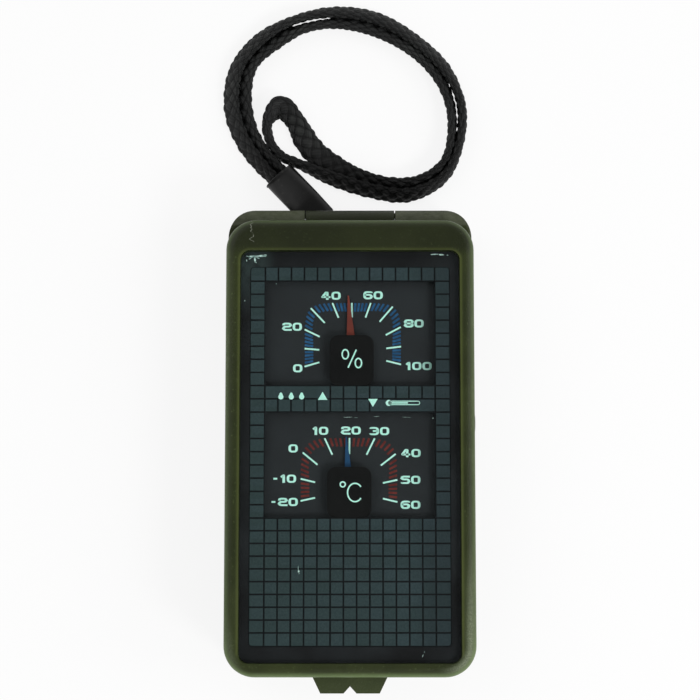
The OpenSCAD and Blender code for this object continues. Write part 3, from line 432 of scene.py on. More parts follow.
# Angles are in degrees, the numbers' places in millimetres from the pivot
dials = {
    "hygro": {
        "node": "hygrometer_dial", "centre": (0.00068, 0.0225), "first": 196.2, "step": -21.0, "count": 11,
        "outer": (0.01166, 0.01212, 5.6), "inner": (0.0081, 0.0086, 4.0),
        "numbers": {
            "0": (-13.32, -3.8), "20": (-14.69, 6.31), "40": (-5.31, 13.89),
            "60": (4.92, 14.0), "80": (14.81, 7.11), "100": (15.89, -3.25),
        },
    },
    "thermo": {
        "node": "thermometer_dial", "centre": (-0.00024, -0.01074), "first": 192.2, "step": -25.7, "count": 9,
        "outer": (0.01161, 0.01261, 5.0), "inner": (0.00814, 0.00872, 4.0),
        "numbers": {
            "-20": (-15.7, -2.75), "-10": (-15.7, 2.81), "0": (-13.43, 10.08),
            "10": (-6.93, 14.32), "20": (0.47, 14.39), "30": (7.32, 14.25),
            "40": (14.87, 8.96), "50": (14.78, 2.54), "60": (14.75, -3.43),
        },
    },
}
print("marks ready")


# Distance from the pivot at each angle of a square-shouldered arch, on which x over a and y over b,
# each to the power n, sum to one
def archReach(angle, arch):
    a, b, n = arch
    return (np.abs(np.cos(angle) / a) ** n + np.abs(np.sin(angle) / b) ** n) ** (-1 / n)


# Long lines run from the inner arch to the outer one, and four short steps stand between each two
def makeDial(name, d, c):
    low, high = inkLevels(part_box(d["node"])[1].z)
    pivot = np.array(d["centre"])
    major, minor = Marks(), Marks()
    angle = np.radians(d["first"] + d["step"] * np.arange(d["count"]))
    starts, ends = (pivot + rays(angle) * archReach(angle, d[arch])[:, None] for arch in ("inner", "outer"))
    for a, b in zip(starts, ends):
        major.stroke([a, b], (c["pen"],) * 2, low, high)
    steps = np.arange((d["count"] - 1) * 5)
    angle = np.radians(d["first"] + d["step"] * steps[steps % 5 > 0] / 5)
    far = archReach(angle, d["outer"])[:, None] * c["stepReach"]
    for a, b in zip(pivot + rays(angle) * (far - c["stepLong"]), pivot + rays(angle) * far):
        minor.stroke([a, b], (c["stepPen"],) * 2, low, high - c["stepLower"])
    for text, place in d["numbers"].items():
        writeNumber(major, text, pivot + np.array(place) * mm, scaleFigures, low, high)
    return major.make(name + "Scale", "lid", "dial"), minor.make(name + "Steps", "lid", "dial")


hygroScale, hygroSteps = makeDial("hygro", dials["hygro"], scaleLines)
thermoScale, thermoSteps = makeDial("thermo", dials["thermo"], scaleLines)

signs = {
    "pen": 0.00034,
    "percent": {
        "centre": (0.0005, 0.0208), "rings": ((-0.00163, 0.0011), (0.00152, -0.00102)),
        "radii": (0.00076, 0.00112), "slash": ((-0.00095, -0.00215), (0.00102, 0.00222)),
    },
    "degree": {
        "ring": (-0.00173, -0.00935), "radii": (0.0006, 0.0006),
        "letter": (0.0012, -0.01128), "letterRadii": (0.00178, 0.00218), "letterEnds": (38, 322),
    },
}


# The per cent sign is two ellipses and a slanting bar, the degree sign a ring and an open ellipse
def makeSigns(c):
    pen = (c["pen"], c["pen"])
    low, high = inkLevels(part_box("hygrometer_cover")[1].z)
    percent, p = Marks(), c["percent"]
    middle = np.array(p["centre"])
    for ring in p["rings"]:
        percent.stroke(arc(middle + ring, p["radii"]), pen, low, high, True)
    percent.stroke(middle + np.array(p["slash"]), pen, low, high)
    degree, d = Marks(), c["degree"]
    degree.stroke(arc(d["ring"], d["radii"]), pen, low, high, True)
    degree.stroke(arc(d["letter"], d["letterRadii"], *d["letterEnds"]), pen, low, high)
    return percent.make("percentSign", "lid", "dial"), degree.make("degreeSign", "lid", "dial")


percentSign, degreeSign = makeSigns(signs)

# In millimetres, except for the pens
faceSigns = {
    "up": ((-7.71, 10.88), (-5.42, 10.88), (-6.57, 12.82)),
    "down": ((4.34, 11.12), (5.5, 9.19), (6.65, 11.12)),
    "drops": ((-16.6, 11.6), (-14.1, 11.6), (-11.6, 11.6)), "drop": 0.62, "point": 0.75,
    "tube": (9.3, 10.15), "long": 7.4, "half": 0.42, "filled": 0.62, "bulb": 0.72,
    "tubePen": (0.0002, 0.0002), "columnPen": (0.00034, 0.00034),
}


# Two triangles, three drops for moisture and a lying thermometer for heat. A drop is a circle whose
# top is drawn out to a point: its radius grows with the ninth power of the sine.
def makeFaceMarks(c):
    low, high = inkLevels(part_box("face_plate")[1].z)
    marks = Marks()
    for name in ("up", "down"):
        marks.patch(np.array(c[name]) * mm, low, high)
    angle = np.radians(np.arange(0, 360, 12))
    reach = c["drop"] * (1 + c["point"] * np.clip(np.sin(angle), 0, 1) ** 9)
    for drop in c["drops"]:
        marks.patch((np.array(drop) + reach[:, None] * rays(angle)) * mm, low, high)
    (x, y), long, half = c["tube"], c["long"], c["half"]
    marks.patch(arc((x, y), (c["bulb"], c["bulb"]), count=24) * mm, low, high)
    above, below, end = y + half, y - half, x + long
    tube = roundCorners([(x, above), (end, above), (end, below), (x, below)], half, True)
    marks.stroke(tube * mm, c["tubePen"], low, high, True)
    marks.stroke(np.array([(x, y), (x + long * c["filled"], y)]) * mm, c["columnPen"], low, high)
    return marks.make("faceMarks", "lid", "face")


faceMarks = makeFaceMarks(faceSigns)

pane = {
    "centre": (0.0, -0.0023), "half": (0.02643, 0.04928), "corner": 0.0024, "bevel": 0.00022, "gap": 0.00007,
    "printHalf": (0.0241, 0.0454), "printCorner": 0.0009, "printInset": 0.0001, "print": (0.00001, 0.000035),
}


# Window pane with a bevelled top edge: outlines stacked from the underside up, closed by flat caps
def makePane(c):
    low, high = (v.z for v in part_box("window"))
    layers = ((0.0, low + c["gap"]), (0.0, high - c["bevel"]), (c["bevel"], high))
    rings = [raised(roundedBox(c["centre"], [h - inset for h in c["half"]], c["corner"] - inset), z)
             for inset, z in layers]
    faces = tubeFaces(len(rings), len(rings[0]))
    piece = makePiece("windowPane", np.concatenate(rings), faces, "lid", smooth=False)
    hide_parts("window")
    return piece


# The black print under the pane: a flat ring between two rounded rectangles
def makeBorder(c):
    inset = c["printInset"]
    outer = roundedBox(c["centre"], [h - inset for h in c["half"]], c["corner"] - inset)
    inner = roundedBox(c["centre"], c["printHalf"], c["printCorner"])
    low, high = (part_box("window")[0].z + z for z in c["print"])
    n = len(outer)
    rings = [raised(outer, high), raised(inner, high), raised(inner, low), raised(outer, low)]
    closing = [[3 * n + i, 3 * n + (i + 1) % n, (i + 1) % n, i] for i in range(n)]
    faces = list(ringFaces(4, n)[:, ::-1]) + closing
    return makePiece("windowBorder", np.concatenate(rings), faces, "lid", smooth=False)


windowPane = makePane(pane)
windowBorder = makeBorder(pane)

# Each spot: x, y and the two half widths in millimetres, and the turn in radians
glueAndGlints = {
    "seed": 4, "sides": 24, "wander": 0.3, "above": 0.00004, "thick": 0.00002,
    "spots": (
        (-23.6, 45.7, 1.0, 0.2, 0.08), (-23.0, 45.0, 0.2, 0.8, 0.12), (-21.6, 45.8, 1.1, 0.24, 0.06),
        (-24.7, 45.7, 0.5, 0.1, -0.2), (-24.1, 45.2, 0.5, 0.08, 0.5), (-22.3, 45.3, 0.4, 0.09, -0.4),
        (-20.5, 45.9, 0.3, 0.26, 0.0), (-25.0, 44.7, 0.09, 0.3, 0.2), (-22.7, 44.2, 0.09, 0.12, 0.0),
        (20.5, 46.2, 0.9, 0.12, 0.04), (22.1, 46.1, 0.6, 0.18, -0.04), (23.6, 46.0, 0.2, 0.06, 0.0),
        (-12.2, -30.0, 0.19, 0.25, 0.2), (-12.3, -29.2, 0.06, 0.5, 0.0), (-12.1, -30.5, 0.14, 0.08, 0.5),
        (17.2, -49.8, 0.06, 0.35, -0.4), (17.6, -48.9, 0.05, 0.16, -0.3), (-25.4, 34.9, 0.07, 0.16, 0.1),
        # the five thin spots at y 6.5 to 6.9, on this line and the next, are painted highlight along the
        # upper edge of the thermometer's opening; the last spot on the next line is glue
        (-0.6, 6.7, 0.9, 0.03, 0.02), (1.4, 6.6, 0.4, 0.03, 0.0), (6.4, 6.9, 0.8, 0.02, 0.05),
        (13.6, 6.7, 1.2, 0.02, -0.03), (19.9, 6.5, 0.1, 0.1, 0.0), (-17.8, 39.0, 0.1, 0.09, 0.0),
    ),
}


# White crumbs of glue, and thin dashes of painted highlight: ellipses whose radius wanders with the angle, by
# random steps averaged by threes
def makeGlueAndGlints(c):
    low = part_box("window")[0].z + c["above"]
    marks = Marks()
    draw = np.random.default_rng(c["seed"])
    n = c["sides"]
    angle = roundAngles(n)
    for *sizes, turn in c["spots"]:
        x, y, rx, ry = np.array(sizes) * mm
        steps = np.tile(draw.uniform(-1, 1, n), 3)
        reach = 1 + c["wander"] * np.convolve(steps, np.ones(3) / 3, "same")[n:2 * n]
        u, v = rx * reach * np.cos(angle), ry * reach * np.sin(angle)
        ct, st = math.cos(turn), math.sin(turn)
        marks.patch(np.stack([x + u * ct - v * st, y + u * st + v * ct], 1), low, low + c["thick"])
    return marks.make("glueAndGlintMarks", "lid", "white_plastic")


glueAndGlintMarks = makeGlueAndGlints(glueAndGlints)
print("dials and signs")

# Ticks give the step in degrees and the length of each kind, the longest first. A length below zero
# runs inwards.
compass = {
    "centre": (0.0, 0.017), "circle": 0.0105, "circlePen": (0.00018, 0.00018),
    "north": ((-0.0017, 0.0038), (0.0017, 0.0038), (0, 0.0148)),
    "south": ((-0.0017, -0.0038), (0, -0.0128), (0.0017, -0.0038)),
    "card": {
        "every": 5, "from": 0.0179, "ticks": ((30, -0.0022), (10, -0.0015), (5, -0.001)),
        "pen": (0.00022, 0.00022), "numbersAt": 0.0144, "first": 30, "unit": 1,
        "figures": {"width": 0.00135, "height": 0.0015, "pen": (0.0003, 0.0003), "gap": 0.00016,
                    "shoulder": 0.00035},
    },
    "ring": {
        "every": 10, "from": 0.021, "ticks": ((30, 0.0011), (10, 0.0007)),
        "pen": (0.0002, 0.0002), "numbersAt": 0.02295, "first": 0, "unit": 10,
        "figures": {"width": 0.0009, "height": 0.00105, "pen": (0.0002, 0.0002), "gap": 0.00012,
                    "shoulder": 0.00024},
    },
}


# Ticks that point at the middle, with a plain number at every thirty degrees
def drawTicks(marks, middle, c, low, high):
    for degrees in range(0, 360, c["every"]):
        ray = np.array([math.sin(math.radians(degrees)), math.cos(math.radians(degrees))])
        long = next(length for step, length in c["ticks"] if degrees % step == 0)
        near, far = sorted((c["from"], c["from"] + long))
        marks.stroke([middle + ray * near, middle + ray * far], c["pen"], low, high)
        if degrees % 30 == 0 and degrees >= c["first"]:
            number = str(degrees // c["unit"])
            place = middle + ray * c["numbersAt"]
            writeNumber(marks, number, place, c["figures"], low, high, -math.radians(degrees))


# The card has a circle and two long triangles besides its ticks, one for north and one for south
def makeCompassMarks(c):
    middle = np.array(c["centre"])
    card, north, ring = Marks(), Marks(), Marks()
    low, high = inkLevels(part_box("compass_card")[1].z)
    drawTicks(card, middle, c["card"], low, high)
    card.stroke(arc(middle, (c["circle"], c["circle"]), count=96), c["circlePen"], low, high, True)
    north.patch(middle + np.array(c["north"]), low, high)
    card.patch(middle + np.array(c["south"]), low, high)
    drawTicks(ring, middle, c["ring"], *inkLevels(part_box("azimuth_ring")[1].z))
    return (card.make("cardMarks", "card", "card"), north.make("northArrow", "card", "red_paint"),
            ring.make("ringMarks", "ring", "black_trim"))


cardMarks, northArrow, ringMarks = makeCompassMarks(compass)
print("compass marks")


# Materials

class Value:  # a socket that sums and scales as a number does
    def __init__(self, tree, socket):
        self.tree, self.socket = tree, socket

    def __add__(self, other):
        return self.tree.math("ADD", self, other)

    def __sub__(self, other):
        return self.tree.math("SUBTRACT", self, other)

    def __rsub__(self, other):
        return self.tree.math("SUBTRACT", other, self)

    def __mul__(self, other):
        return self.tree.math("MULTIPLY", self, other)

    def __truediv__(self, other):
        return self.tree.math("DIVIDE", self, other)

    __radd__ = __add__
    __rmul__ = __mul__


class Tree:
    def __init__(self, owner):
        self.owner = owner
        owner.use_nodes = True
        self.nodes, self.links = owner.node_tree.nodes, owner.node_tree.links
        self.nodes.clear()

    def add(self, kind, settings=None, values=None, out=0):
        node = self.nodes.new("ShaderNode" + kind)
        for name, value in (settings or {}).items():
            setattr(node, name, value)
        for name, value in (values or {}).items():
            if isinstance(value, Value):
                self.links.new(value.socket, node.inputs[name])
            else:
                node.inputs[name].default_value = value
        return Value(self, node.outputs[out])

    def math(self, operation, a, b=0.0):
        return self.add("Math", {"operation": operation}, {0: a, 1: b})

    # A Mix node keeps its colours on inputs 6 and 7 and on output 2
    def blend(self, factor, a, b):
        return self.add("Mix", {"data_type": "RGBA"}, {0: factor, 6: a, 7: b}, 2)

    # Rises smoothly from 0 to 1 between low and high
    def rise(self, value, low, high):
        return self.add("MapRange", {"interpolation_type": "SMOOTHSTEP"},
                        {"Value": value, "From Min": low, "From Max": high})

    # The same from 1 to 0
    def fall(self, value, low, high):
        return 1 - self.rise(value, low, high)

    def place(self):
        return self.add("TexCoord", out="Object")

    def parts(self, vector):
        return [self.add("SeparateXYZ", None, {0: vector}, axis) for axis in "XYZ"]

    def scaled(self, vector, scale):
        return self.add("Mapping", None, {"Vector": vector, "Scale": scale})

    def noise(self, vector, scale, detail, rough=0.5):
        return self.add("TexNoise", None, {"Vector": vector, "Scale": scale, "Detail": detail,
                                           "Roughness": rough})

    def bump(self, height, distance):
        return self.add("Bump", None, {"Height": height, "Distance": distance})

    def surface(self, values):
        return self.add("BsdfPrincipled", None, values)

    def output(self, shader, kind="Material"):
        end = self.nodes.new("ShaderNodeOutput" + kind)
        self.links.new(shader.socket, end.inputs["Surface"])
        return self.owner


def newTree(name):
    return Tree(bpy.data.materials.new(name))


# A colour written as the 0 to 255 values of the screen, undone from the screen's own curve
def paint(*screen):
    linear = (c / 3294.6 if c <= 10.3 else ((c / 255 + 0.055) / 1.055) ** 2.4 for c in screen)
    return (*linear, 1.0)


# Plan outlines: centre, half sizes and corner radius
lidPlan = ((0.0, -0.0001), (0.03, 0.0548), 0.0074)
casePlan = ((0.0, 0.00205), (0.03, 0.05695), 0.0074)
windowPlan = ((0.0, -0.0023), (0.02645, 0.0493), 0.0024)


# Signed distance in plan to a rounded rectangle, below zero inside it
def planEdge(t, x, y, plan):
    centre, half, radius = plan
    qx = t.math("ABSOLUTE", x - centre[0]) - (half[0] - radius)
    qy = t.math("ABSOLUTE", y - centre[1]) - (half[1] - radius)
    ox, oy = t.math("MAXIMUM", qx, 0.0), t.math("MAXIMUM", qy, 0.0)
    inside = t.math("MINIMUM", t.math("MAXIMUM", qx, qy), 0.0)
    return t.math("SQRT", ox * ox + oy * oy) + inside - radius


def plainMeasures(t, place):
    return dict(zip("xyz", t.parts(place)))


# Besides the place: how far past the outline and past the window's edge, how strong the painted highlight on
# the rim is, which grows towards the tab, the painted highlight on the lower corners with its sparkle, and
# the way off the scratch's line
def lidMeasures(t, place):
    m = plainMeasures(t, place)
    x, y = m["x"], m["y"]
    m["edge"] = planEdge(t, x, y, lidPlan)
    m["lip"] = planEdge(t, x, y, windowPlan)
    # painted highlight on the rounded rim, stronger towards the tab
    m["rim"] = t.rise(y, -0.043, -0.05) * 0.34 + 0.32
    # painted highlight on the lower right and lower left corners, with a sparkling grain
    right = t.rise(x - y * 0.25, 0.0335, 0.0405)
    left = t.rise(x + y * 0.25, -0.038, -0.0415) * 0.55
    sparkle = t.rise(t.noise(place, 3400.0, 3.0, 0.7), 0.4, 0.65) * 0.3 + 0.2
    m["cornerHighlight"] = (1 - t.rise(m["edge"], -0.0014, -0.0004) * 0.7) * t.math("MAXIMUM", right, left) * sparkle
    wander = t.noise(t.scaled(place, (1.0, 420.0, 1.0)), 1.0, 3.0, 0.6) * 0.006
    m["off"] = t.math("ABSOLUTE", x + 0.0268 - wander)
    return m


def caseMeasures(t, place):
    m = plainMeasures(t, place)
    m["edge"] = planEdge(t, m["x"], m["y"], casePlan)
    m["dust"] = t.noise(t.scaled(place, (500.0, 900.0, 500.0)), 1.0, 4.0, 0.7)
    return m


# A band is a measure, where the mark starts and where it is full. Patches are a noise's scale, detail
# and roughness and its own band.
lidMarks = (
    # scuffed top edge
    {"bands": (("edge", -0.0013, -0.0004), ("z", 0.0238, 0.0256)), "patches": (260.0, 5.0, 0.7, 0.5, 0.72),
     "strength": 0.28, "paint": (128, 131, 112), "rough": 0.12},
    # painted highlight along the lip round the window, left out at the bottom end
    {"bands": (("lip", 0.0, 0.00006), ("lip", 0.0009, 0.0002), ("z", 0.0255, 0.0258), ("y", -0.0505, -0.049)),
     "strength": 0.42, "paint": (90, 99, 48)},
    # painted shade darkening the hinge end, where the light falls off
    {"bands": (("y", 0.0455, 0.0485),), "strength": 0.62, "paint": (26, 30, 13)},
    # painted highlight along the rounded outline, stronger towards the tab
    {"bands": (("edge", -0.0015, -0.0002), ("z", 0.0222, 0.0236), ("edge", 0.001, 0.0004)), "times": "rim",
     "strength": 1.0, "paint": (108, 130, 78)},
    # painted highlight with a sparkling grain on the rounded lower corners, mostly the right
    {"bands": (("edge", -0.0032, -0.0018), ("z", 0.0222, 0.0236), ("edge", 0.001, 0.0004)), "times": "cornerHighlight",
     "strength": 1.0, "paint": (152, 164, 132)},
    # painted highlight lightening the tab at the front end
    {"bands": (("y", -0.0549, -0.0552),), "strength": 0.3, "paint": (92, 104, 70)},
    # one scratch
    {"bands": (("off", 0.00014, 0.00003), ("y", 0.0488, 0.0492), ("z", 0.024, 0.0245)),
     "patches": (1500.0, 3.0, 0.6, 0.32, 0.5), "strength": 0.6, "paint": (158, 162, 148)},
)
caseScuff = {"patches": (300.0, 5.0, 0.7, 0.48, 0.7), "strength": 0.38, "paint": (126, 129, 112)}
caseMarks = (
    # foot, top edge and dusty hinge barrels
    {**caseScuff, "bands": (("edge", -0.0014, -0.0003), ("z", 0.0018, 0.0002)), "rough": 0.1},
    {**caseScuff, "bands": (("edge", -0.0009, -0.0001), ("z", 0.0152, 0.016))},
    {"bands": (("y", 0.0545, 0.0552), ("z", 0.0125, 0.0135)), "times": "dust",
     "strength": 0.58, "paint": (118, 121, 106), "rough": 0.1},
)
# The print under the pane is darker towards its top end, with a haze of glue in the left corner
borderMarks = (
    {"bands": (("y", 0.042, 0.0465),), "strength": 0.45, "paint": (12, 12, 13)},
    {"bands": (("x", -0.017, -0.0225), ("y", 0.03, 0.044)), "patches": (260.0, 4.0, 0.6, 0.2, 0.6),
     "strength": 0.5, "paint": (66, 80, 80)},
)
# The luminous print is dimmer towards the right
mintMarks = ({"bands": (("x", 0.014, 0.019),), "strength": 0.5, "paint": (84, 104, 100)},)


# Marks are laid on in turn, each as strong as the product of its bands and its patches
def markOver(t, place, m, marks, colour, rough):
    for mark in marks:
        amount = 1.0
        for measure, start, full in mark["bands"]:
            amount = t.rise(m[measure], start, full) * amount
        if "rough" in mark:
            rough = rough + amount * mark["rough"]
        if "times" in mark:
            amount = amount * m[mark["times"]]
        if "patches" in mark:
            scale, detail, crumble, start, full = mark["patches"]
            amount = amount * t.rise(t.noise(place, scale, detail, crumble), start, full)
        colour = t.blend(amount * mark["strength"], colour, paint(*mark["paint"]))
    return colour, rough


faceGrid = {
    "corner": (-0.02045, -0.04745), "pitch": (0.003146, 0.00315), "top": (0.0241, 0.02425),
    "dim": (52, 65, 69), "bright": (59, 72, 79), "green": (54, 69, 67), "specks": (38, 47, 50),
    "shade": (34, 38, 42), "groove": (28, 30, 33),
}


# The face: blue-grey squares, each a little dimmer or brighter than the next, with dark grooves. They
# are greener to the left, mottled throughout, and dimmer at the right.
def faceSquares(t, place):
    x, y, z = t.parts(place)
    c = faceGrid
    column = t.math("FLOOR", (x - c["corner"][0]) / c["pitch"][0])
    row = t.math("FLOOR", (y - c["corner"][1]) / c["pitch"][1])
    cell = t.add("CombineXYZ", None, {0: column, 1: row})
    shade = t.add("TexWhiteNoise", {"noise_dimensions": "2D"}, {"Vector": cell})
    square = t.blend(shade, paint(*c["dim"]), paint(*c["bright"]))
    drift = t.rise(x + y * 0.3, -0.03, 0.02)
    square = t.blend(drift * 0.5, t.blend(0.5, square, paint(*c["green"])), square)
    mottle = t.rise(t.noise(place, 1900.0, 3.0, 0.7), 0.35, 0.65)
    square = t.blend(mottle * 0.3, square, paint(*c["specks"]))
    square = t.blend(t.rise(x, 0.014, 0.02) * 0.35, square, paint(*c["shade"]))
    return t.blend(t.rise(z, *c["top"]), paint(*c["groove"]), square)


# Scales count noise cells in a metre, and bands say how much of a noise shows
plainMoulding = {
    "cloud": 90.0, "cloudBand": (0.3, 0.7), "speck": 0.06, "speckScale": 0.6, "speckBand": (0.62, 0.75),
    "dust": (120, 122, 112), "rub": 0.1, "rubScale": 45.0, "rubBand": (0.52, 0.7), "grainRough": 0.08,
    "depth": 0.00001, "pattern": None, "measures": plainMeasures, "marks": (),
}


def cloudedColour(t, place, c):
    cloud = t.rise(t.noise(place, c["cloud"], 3.0), *c["cloudBand"])
    speck = t.rise(t.noise(place, c["grain"] * c["speckScale"], 2.0), *c["speckBand"])
    colour = t.blend(cloud, paint(*c["dark"]), paint(*c["light"]))
    return t.blend(speck * c["speck"], colour, paint(*c["dust"]))


# Moulded plastic: clouded colour or a pattern, spark-eroded grain as bump, and dull rubbed patches
def moulded(name, look):
    c = {**plainMoulding, **look}
    t = newTree(name)
    place = t.place()
    colour = c["pattern"](t, place) if c["pattern"] else cloudedColour(t, place, c)
    grain = t.noise(place, c["grain"], 3.0, 0.6)
    rub = t.rise(t.noise(place, c["rubScale"], 4.0, 0.65), *c["rubBand"])
    rough = rub * c["rub"] + grain * c["grainRough"] + c["rough"]
    if c["marks"]:
        colour, rough = markOver(t, place, c["measures"](t, place), c["marks"], colour, rough)
    return t.output(t.surface({"Base Color": colour, "Roughness": rough, "Specular IOR Level": c["shine"],
                               "Normal": t.bump(grain, c["depth"])}))


olive = {
    "dark": (37, 44, 17), "light": (47, 55, 23), "dust": (94, 108, 66), "grain": 2600.0, "depth": 0.0001,
    "rough": 0.36, "shine": 0.24, "speck": 0.28,
}
hand = {"grain": 3000.0, "depth": 0.000006, "rough": 0.45, "shine": 0.2}
ink = {"grain": 4000.0, "depth": 0.000004, "rough": 0.7, "speck": 0.03, "shine": 0.1}
plastics = {
    "lidOlive": {**olive, "measures": lidMeasures, "marks": lidMarks},
    "caseOlive": {**olive, "measures": caseMeasures, "marks": caseMarks},
    "deckOlive": {**olive, "dark": (46, 50, 31), "light": (54, 59, 37), "rough": 0.45},
    "whistleOlive": {**olive, "dark": (44, 47, 33), "light": (50, 54, 38), "rough": 0.4},
    "blackPlastic": {"dark": (24, 25, 26), "light": (31, 32, 33), "grain": 3200.0, "depth": 0.00002,
                     "rough": 0.42, "speck": 0.05, "shine": 0.22},
    "blackRubber": {"dark": (9, 9, 9), "light": (14, 14, 14), "grain": 1500.0, "rough": 0.33, "shine": 0.38},
    "dialBlack": {"dark": (41, 43, 46), "light": (45, 48, 51), "grain": 4200.0, "depth": 0.000008,
                  "rough": 0.7, "speck": 0.05, "shine": 0.12},
    "faceGrid": {"pattern": faceSquares, "grain": 3600.0, "depth": 0.000008, "rough": 0.6, "shine": 0.05},
    "coverBlack": {"dark": (12, 12, 13), "light": (17, 17, 18), "grain": 3600.0, "rough": 0.55,
                   "speck": 0.04, "shine": 0.12},
    "cardWhite": {"dark": (222, 222, 212), "light": (235, 235, 226), "grain": 1800.0, "rough": 0.6,
                  "shine": 0.3},
    "whitePlastic": {"dark": (205, 205, 196), "light": (216, 216, 207), "grain": 2000.0, "rough": 0.45,
                     "shine": 0.4},
    "circuitGreen": {"dark": (24, 66, 48), "light": (34, 84, 60), "grain": 1600.0, "depth": 0.00002,
                     "rough": 0.35, "speck": 0.1, "shine": 0.5, "cloud": 700.0},
    "pointerRed": {**hand, "dark": (110, 49, 41), "light": (132, 59, 47)},
    "pointerBlue": {**hand, "dark": (22, 60, 95), "light": (34, 79, 120)},
    "printMint": {**ink, "dark": (190, 250, 234), "light": (206, 255, 244), "cloud": 500.0, "speck": 0.05,
                  "marks": mintMarks},
    "printBlue": {**ink, "dark": (34, 76, 114), "light": (46, 95, 140), "cloud": 600.0},
    "printRed": {**ink, "dark": (94, 40, 38), "light": (116, 52, 47), "cloud": 600.0},
    "printBlack": {**ink, "dark": (30, 30, 32), "light": (38, 38, 40), "rough": 0.6, "shine": 0.2},
    "borderBlack": {**ink, "dark": (23, 23, 25), "light": (36, 38, 41), "cloud": 70.0, "rough": 0.5,
                    "marks": borderMarks},
    # pale marks: glue, and painted highlight along the thermometer's opening
    "glueAndGlintWhite": {"dark": (130, 160, 156), "light": (222, 250, 244), "grain": 4000.0, "cloud": 1400.0,
                  "rough": 0.5, "speck": 0.1, "shine": 0.3},
}
materials = {name: moulded(name, look) for name, look in plastics.items()}

# Brush gives the noise cells in a metre along x, y and z: the finer way runs across the lines
brushed = {"brush": (4000.0, 300.0, 4000.0), "wear": 1.0}
coiled = {"brush": (300.0, 300.0, 5000.0), "wear": 1.0, "rough": 0.28}
metals = {
    "steel": {**brushed, "dark": (150, 152, 154), "light": (196, 198, 200), "rough": 0.24},
    "brass": {**brushed, "dark": (150, 118, 60), "light": (200, 168, 98), "rough": 0.26},
    "magnet": {**brushed, "dark": (96, 98, 102), "light": (128, 130, 134), "rough": 0.38},
    "coilBrass": {**coiled, "dark": (158, 112, 70), "light": (206, 158, 102)},
    "coilSteel": {**coiled, "dark": (128, 130, 134), "light": (178, 180, 184)},
    "mirrorSilver": {"dark": (222, 226, 228), "light": (230, 233, 234), "rough": 0.01,
                     "brush": (60.0, 60.0, 60.0), "wear": 0.05},
}


# Metal: brushed along one direction, with a clouded tarnish; wear is how much both roughen it
def metal(name, c):
    t = newTree(name)
    place = t.place()
    lines = t.noise(t.scaled(place, c["brush"]), 1.0, 2.0)
    tarnish = t.rise(t.noise(place, 160.0, 4.0, 0.6), 0.4, 0.72)
    colour = t.blend(tarnish, paint(*c["light"]), paint(*c["dark"]))
    rough = (lines * 0.14 + tarnish * 0.12) * c["wear"] + c["rough"]
    return t.output(t.surface({"Base Color": colour, "Metallic": 1.0, "Roughness": rough,
                               "Normal": t.bump(lines, 0.000004 * c["wear"])}))


materials.update({name: metal(name, look) for name, look in metals.items()})

glasses = {
    "windowGlass": {"tint": (250, 252, 251), "sheen": 0.3, "haze": 0.012},
    "clearPlastic": {"tint": (246, 250, 250), "sheen": 0.55, "haze": 0.008},
    "lensGlass": {"tint": (247, 251, 251), "sheen": 0.4, "haze": 0.001},
}


# Clear plastic: what is behind it shows through. A sheen grows with the cube of how far the surface
# turns away, over an even haze and its smears.
def clearGlass(name, c):
    t = newTree(name)
    away = t.add("LayerWeight", None, {"Blend": 0.5}, "Facing")
    smear = t.rise(t.noise(t.place(), 70.0, 5.0, 0.65), 0.5, 0.78)
    factor = away * away * away * c["sheen"] + smear * c["haze"] * 0.5 + c["haze"]
    through = t.add("BsdfTransparent", None, {"Color": paint(*c["tint"])})
    gloss = t.surface({"Base Color": paint(215, 220, 220), "Roughness": smear * 0.12 + 0.06, "Metallic": 1.0})
    return t.output(t.add("MixShader", None, {0: factor, 1: through, 2: gloss}))


materials.update({name: clearGlass(name, look) for name, look in glasses.items()})

cordLook = {
    "columns": 6.0, "fibres": 4.0, "dark": (11, 12, 12), "light": (40, 41, 41), "dust": (58, 60, 58),
    # the near-black of the painted shade, in the valleys and near the case
    "shadeBlack": (3, 3, 3), "valley": (0.0, 0.3), "shaded": (0.067, 0.085), "rough": 0.5, "shine": 0.22,
}


# Nylon braid: fine fibres run along each stitch, one slant or the other in turn. Painted shade darkens the
# valleys between stitches and, all over, the cord near the case.
def braid(name, look):
    t = newTree(name)
    u, v, _ = t.parts(t.add("UVMap", {"uv_map": "along"}))
    place = t.place()
    p, q = u + v * look["columns"], u - v * look["columns"]
    over = t.math("MODULO", t.math("FLOOR", p) + t.math("FLOOR", q) + 400.0, 2.0)
    fibre = t.math("SINE", (p * over + q * (1 - over)) * (fullTurn * look["fibres"])) * 0.5 + 0.5
    valley = t.math("ABSOLUTE", t.math("SINE", p * math.pi)) * t.math("ABSOLUTE", t.math("SINE", q * math.pi))
    fuzz = t.noise(place, 5200.0, 3.0, 0.7)
    cloud = t.rise(t.noise(place, 120.0, 3.0), 0.45, 0.7)
    shadeBlack = paint(*look["shadeBlack"])
    colour = t.blend(fibre * 0.45 + fuzz * 0.55, paint(*look["dark"]), paint(*look["light"]))
    colour = t.blend(cloud * valley * 0.5, colour, paint(*look["dust"]))
    # painted shade in the valleys between stitches, then painted shade on the cord near the case
    colour = t.blend(t.fall(valley, *look["valley"]) * 0.7, colour, shadeBlack)
    colour = t.blend(t.fall(t.parts(place)[1], *look["shaded"]) * 0.8, colour, shadeBlack)
    return t.output(t.surface({"Base Color": colour, "Roughness": fuzz * 0.2 + look["rough"],
                               "Specular IOR Level": look["shine"],
                               "Normal": t.bump(fibre * 0.7 + fuzz * 0.5, 0.00006)}))


materials["cordBlack"] = braid("cordBlack", cordLook)

